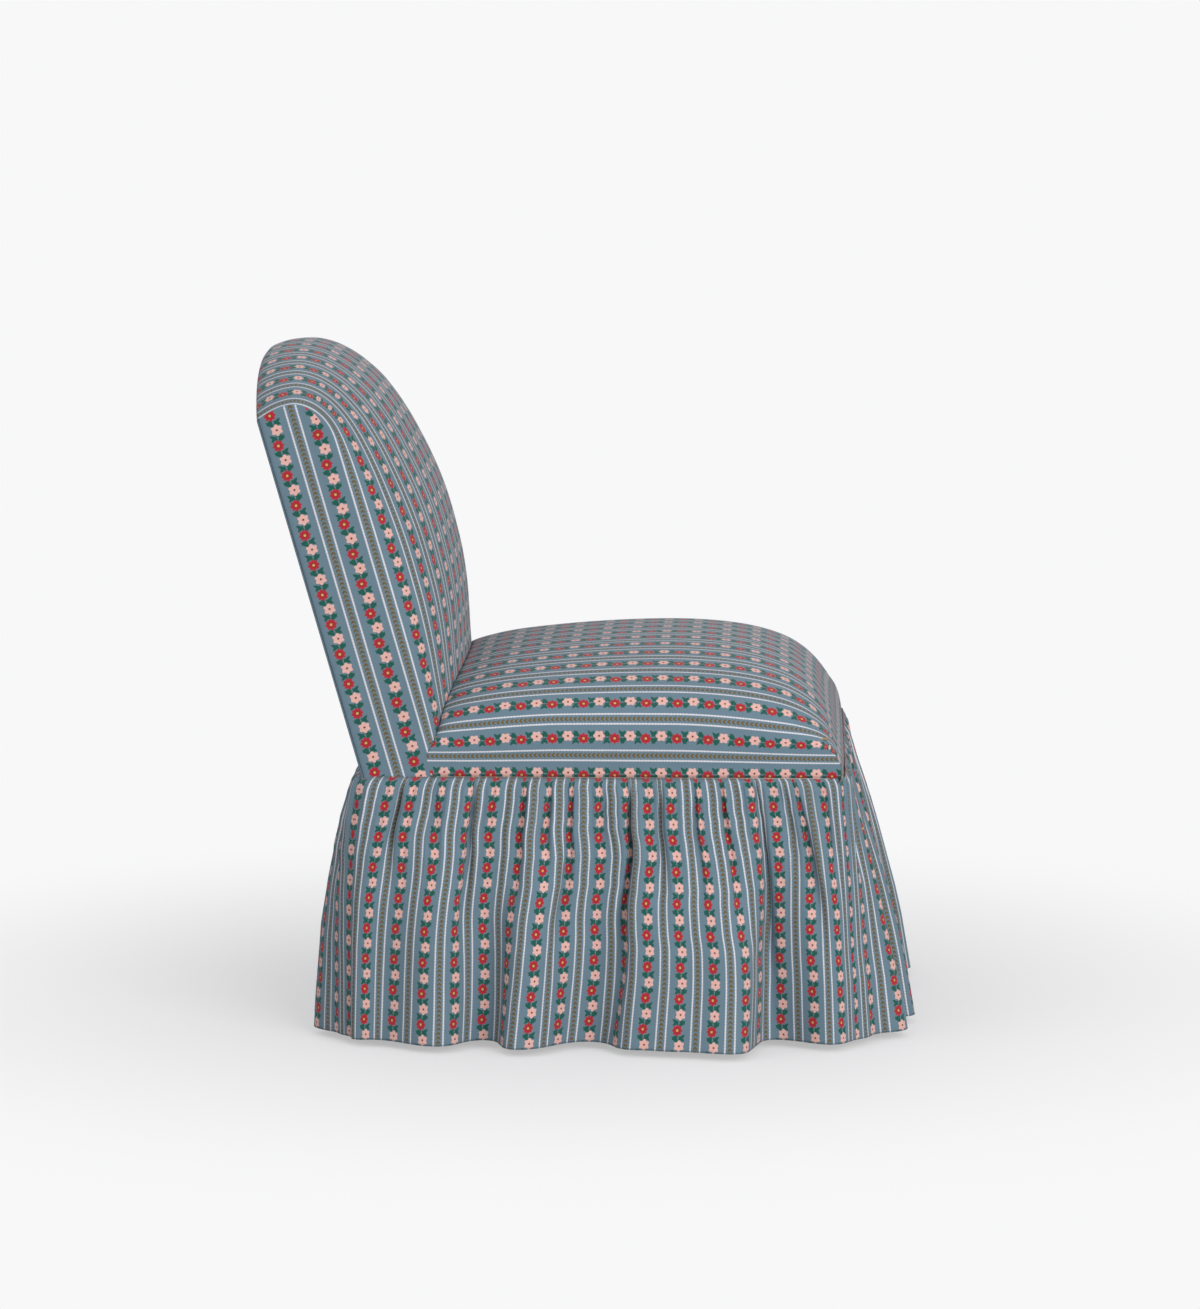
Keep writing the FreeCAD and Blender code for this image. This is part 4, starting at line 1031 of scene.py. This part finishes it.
def floor():
    """A pale floor that keeps the chair's soft shadow and fades into the backdrop."""
    bpy.ops.object.select_all(action="DESELECT")
    bpy.ops.mesh.primitive_plane_add(size=160.0, location=(0, 0, 0))
    plane = bpy.context.active_object
    plane.name = "floor"
    material, tree, shader = new_material("pale_floor", FLOOR_SEEN, 1.0)
    shader.inputs["Specular IOR Level"].default_value = 0.0
    tree.links.new(layer_over(tree, FLOOR_LIT, FLOOR_SEEN, seen_directly(tree)),
                   shader.inputs["Base Color"])
    glow = tree.nodes.new("ShaderNodeEmission")
    glow.inputs["Color"].default_value = PALE
    place = tree.nodes.new("ShaderNodeTexCoord")
    span = tree.nodes.new("ShaderNodeVectorMath")
    span.operation = "LENGTH"
    tree.links.new(place.outputs["Object"], span.inputs[0])
    near = Term(tree, span.outputs["Value"]).math("SUBTRACT", 0.75).inside(0.45)
    fade = near * (-SHADOW_SHARE) + 1.0
    output = tree.nodes["Material Output"]
    tree.links.new(mix_shaders(tree, fade * seen_directly(tree), shader.outputs["BSDF"],
                               glow.outputs["Emission"]), output.inputs["Surface"])
    plane.data.materials.append(material)


def sky():
    """Even white light all round, with the pale backdrop where it is seen."""
    world = bpy.data.worlds.new("studio")
    bpy.context.scene.world = world
    world.use_nodes = True
    tree = world.node_tree
    light = tree.nodes["Background"]
    light.inputs["Color"].default_value = (1.0, 1.0, 1.0, 1.0)
    light.inputs["Strength"].default_value = 0.45
    backdrop = tree.nodes.new("ShaderNodeBackground")
    backdrop.inputs["Color"].default_value = PALE
    tree.links.new(mix_shaders(tree, seen_directly(tree), light.outputs["Background"],
                               backdrop.outputs["Background"]),
                   tree.nodes["World Output"].inputs["Surface"])


def lamps():
    """Three large soft lamps, aimed at the middle of the chair."""
    chair_middle = Vector((0, 0, 0.4))
    for name, spot, power in (("key", (-4.0, -2.2, 1.7), 137.0),
                              ("fill", (-2.6, 3.0, 2.4), 26.0),
                              ("far", (3.4, 0.6, 3.0), 22.0)):
        lamp = bpy.data.lights.new(name, "AREA")
        lamp.size = 3.0
        lamp.energy = power
        item = bpy.data.objects.new(name, lamp)
        bpy.context.collection.objects.link(item)
        item.location = spot
        item.rotation_mode = "QUATERNION"
        aim = chair_middle - Vector(spot)
        item.rotation_quaternion = aim.to_track_quat("-Z", "Y")


def camera():
    """The photograph's view: from the chair's left, a little above it."""
    target = Vector((0.0, -0.009, 0.418))
    spot = Vector((-6.9277, -0.2509, 1.3922))
    data = bpy.data.cameras.new("camera")
    data.sensor_width = 36.0
    data.lens = 159.6
    item = bpy.data.objects.new("camera", data)
    bpy.context.collection.objects.link(item)
    item.location = spot
    item.rotation_mode = "QUATERNION"
    item.rotation_quaternion = (target - spot).to_track_quat("-Z", "Y")
    bpy.context.scene.camera = item


bpy.context.scene.view_settings.view_transform = "Standard"
camera()
floor()
sky()
lamps()
finish_frame()
seat_pad()
back_pad()
outside_back()
skirt()
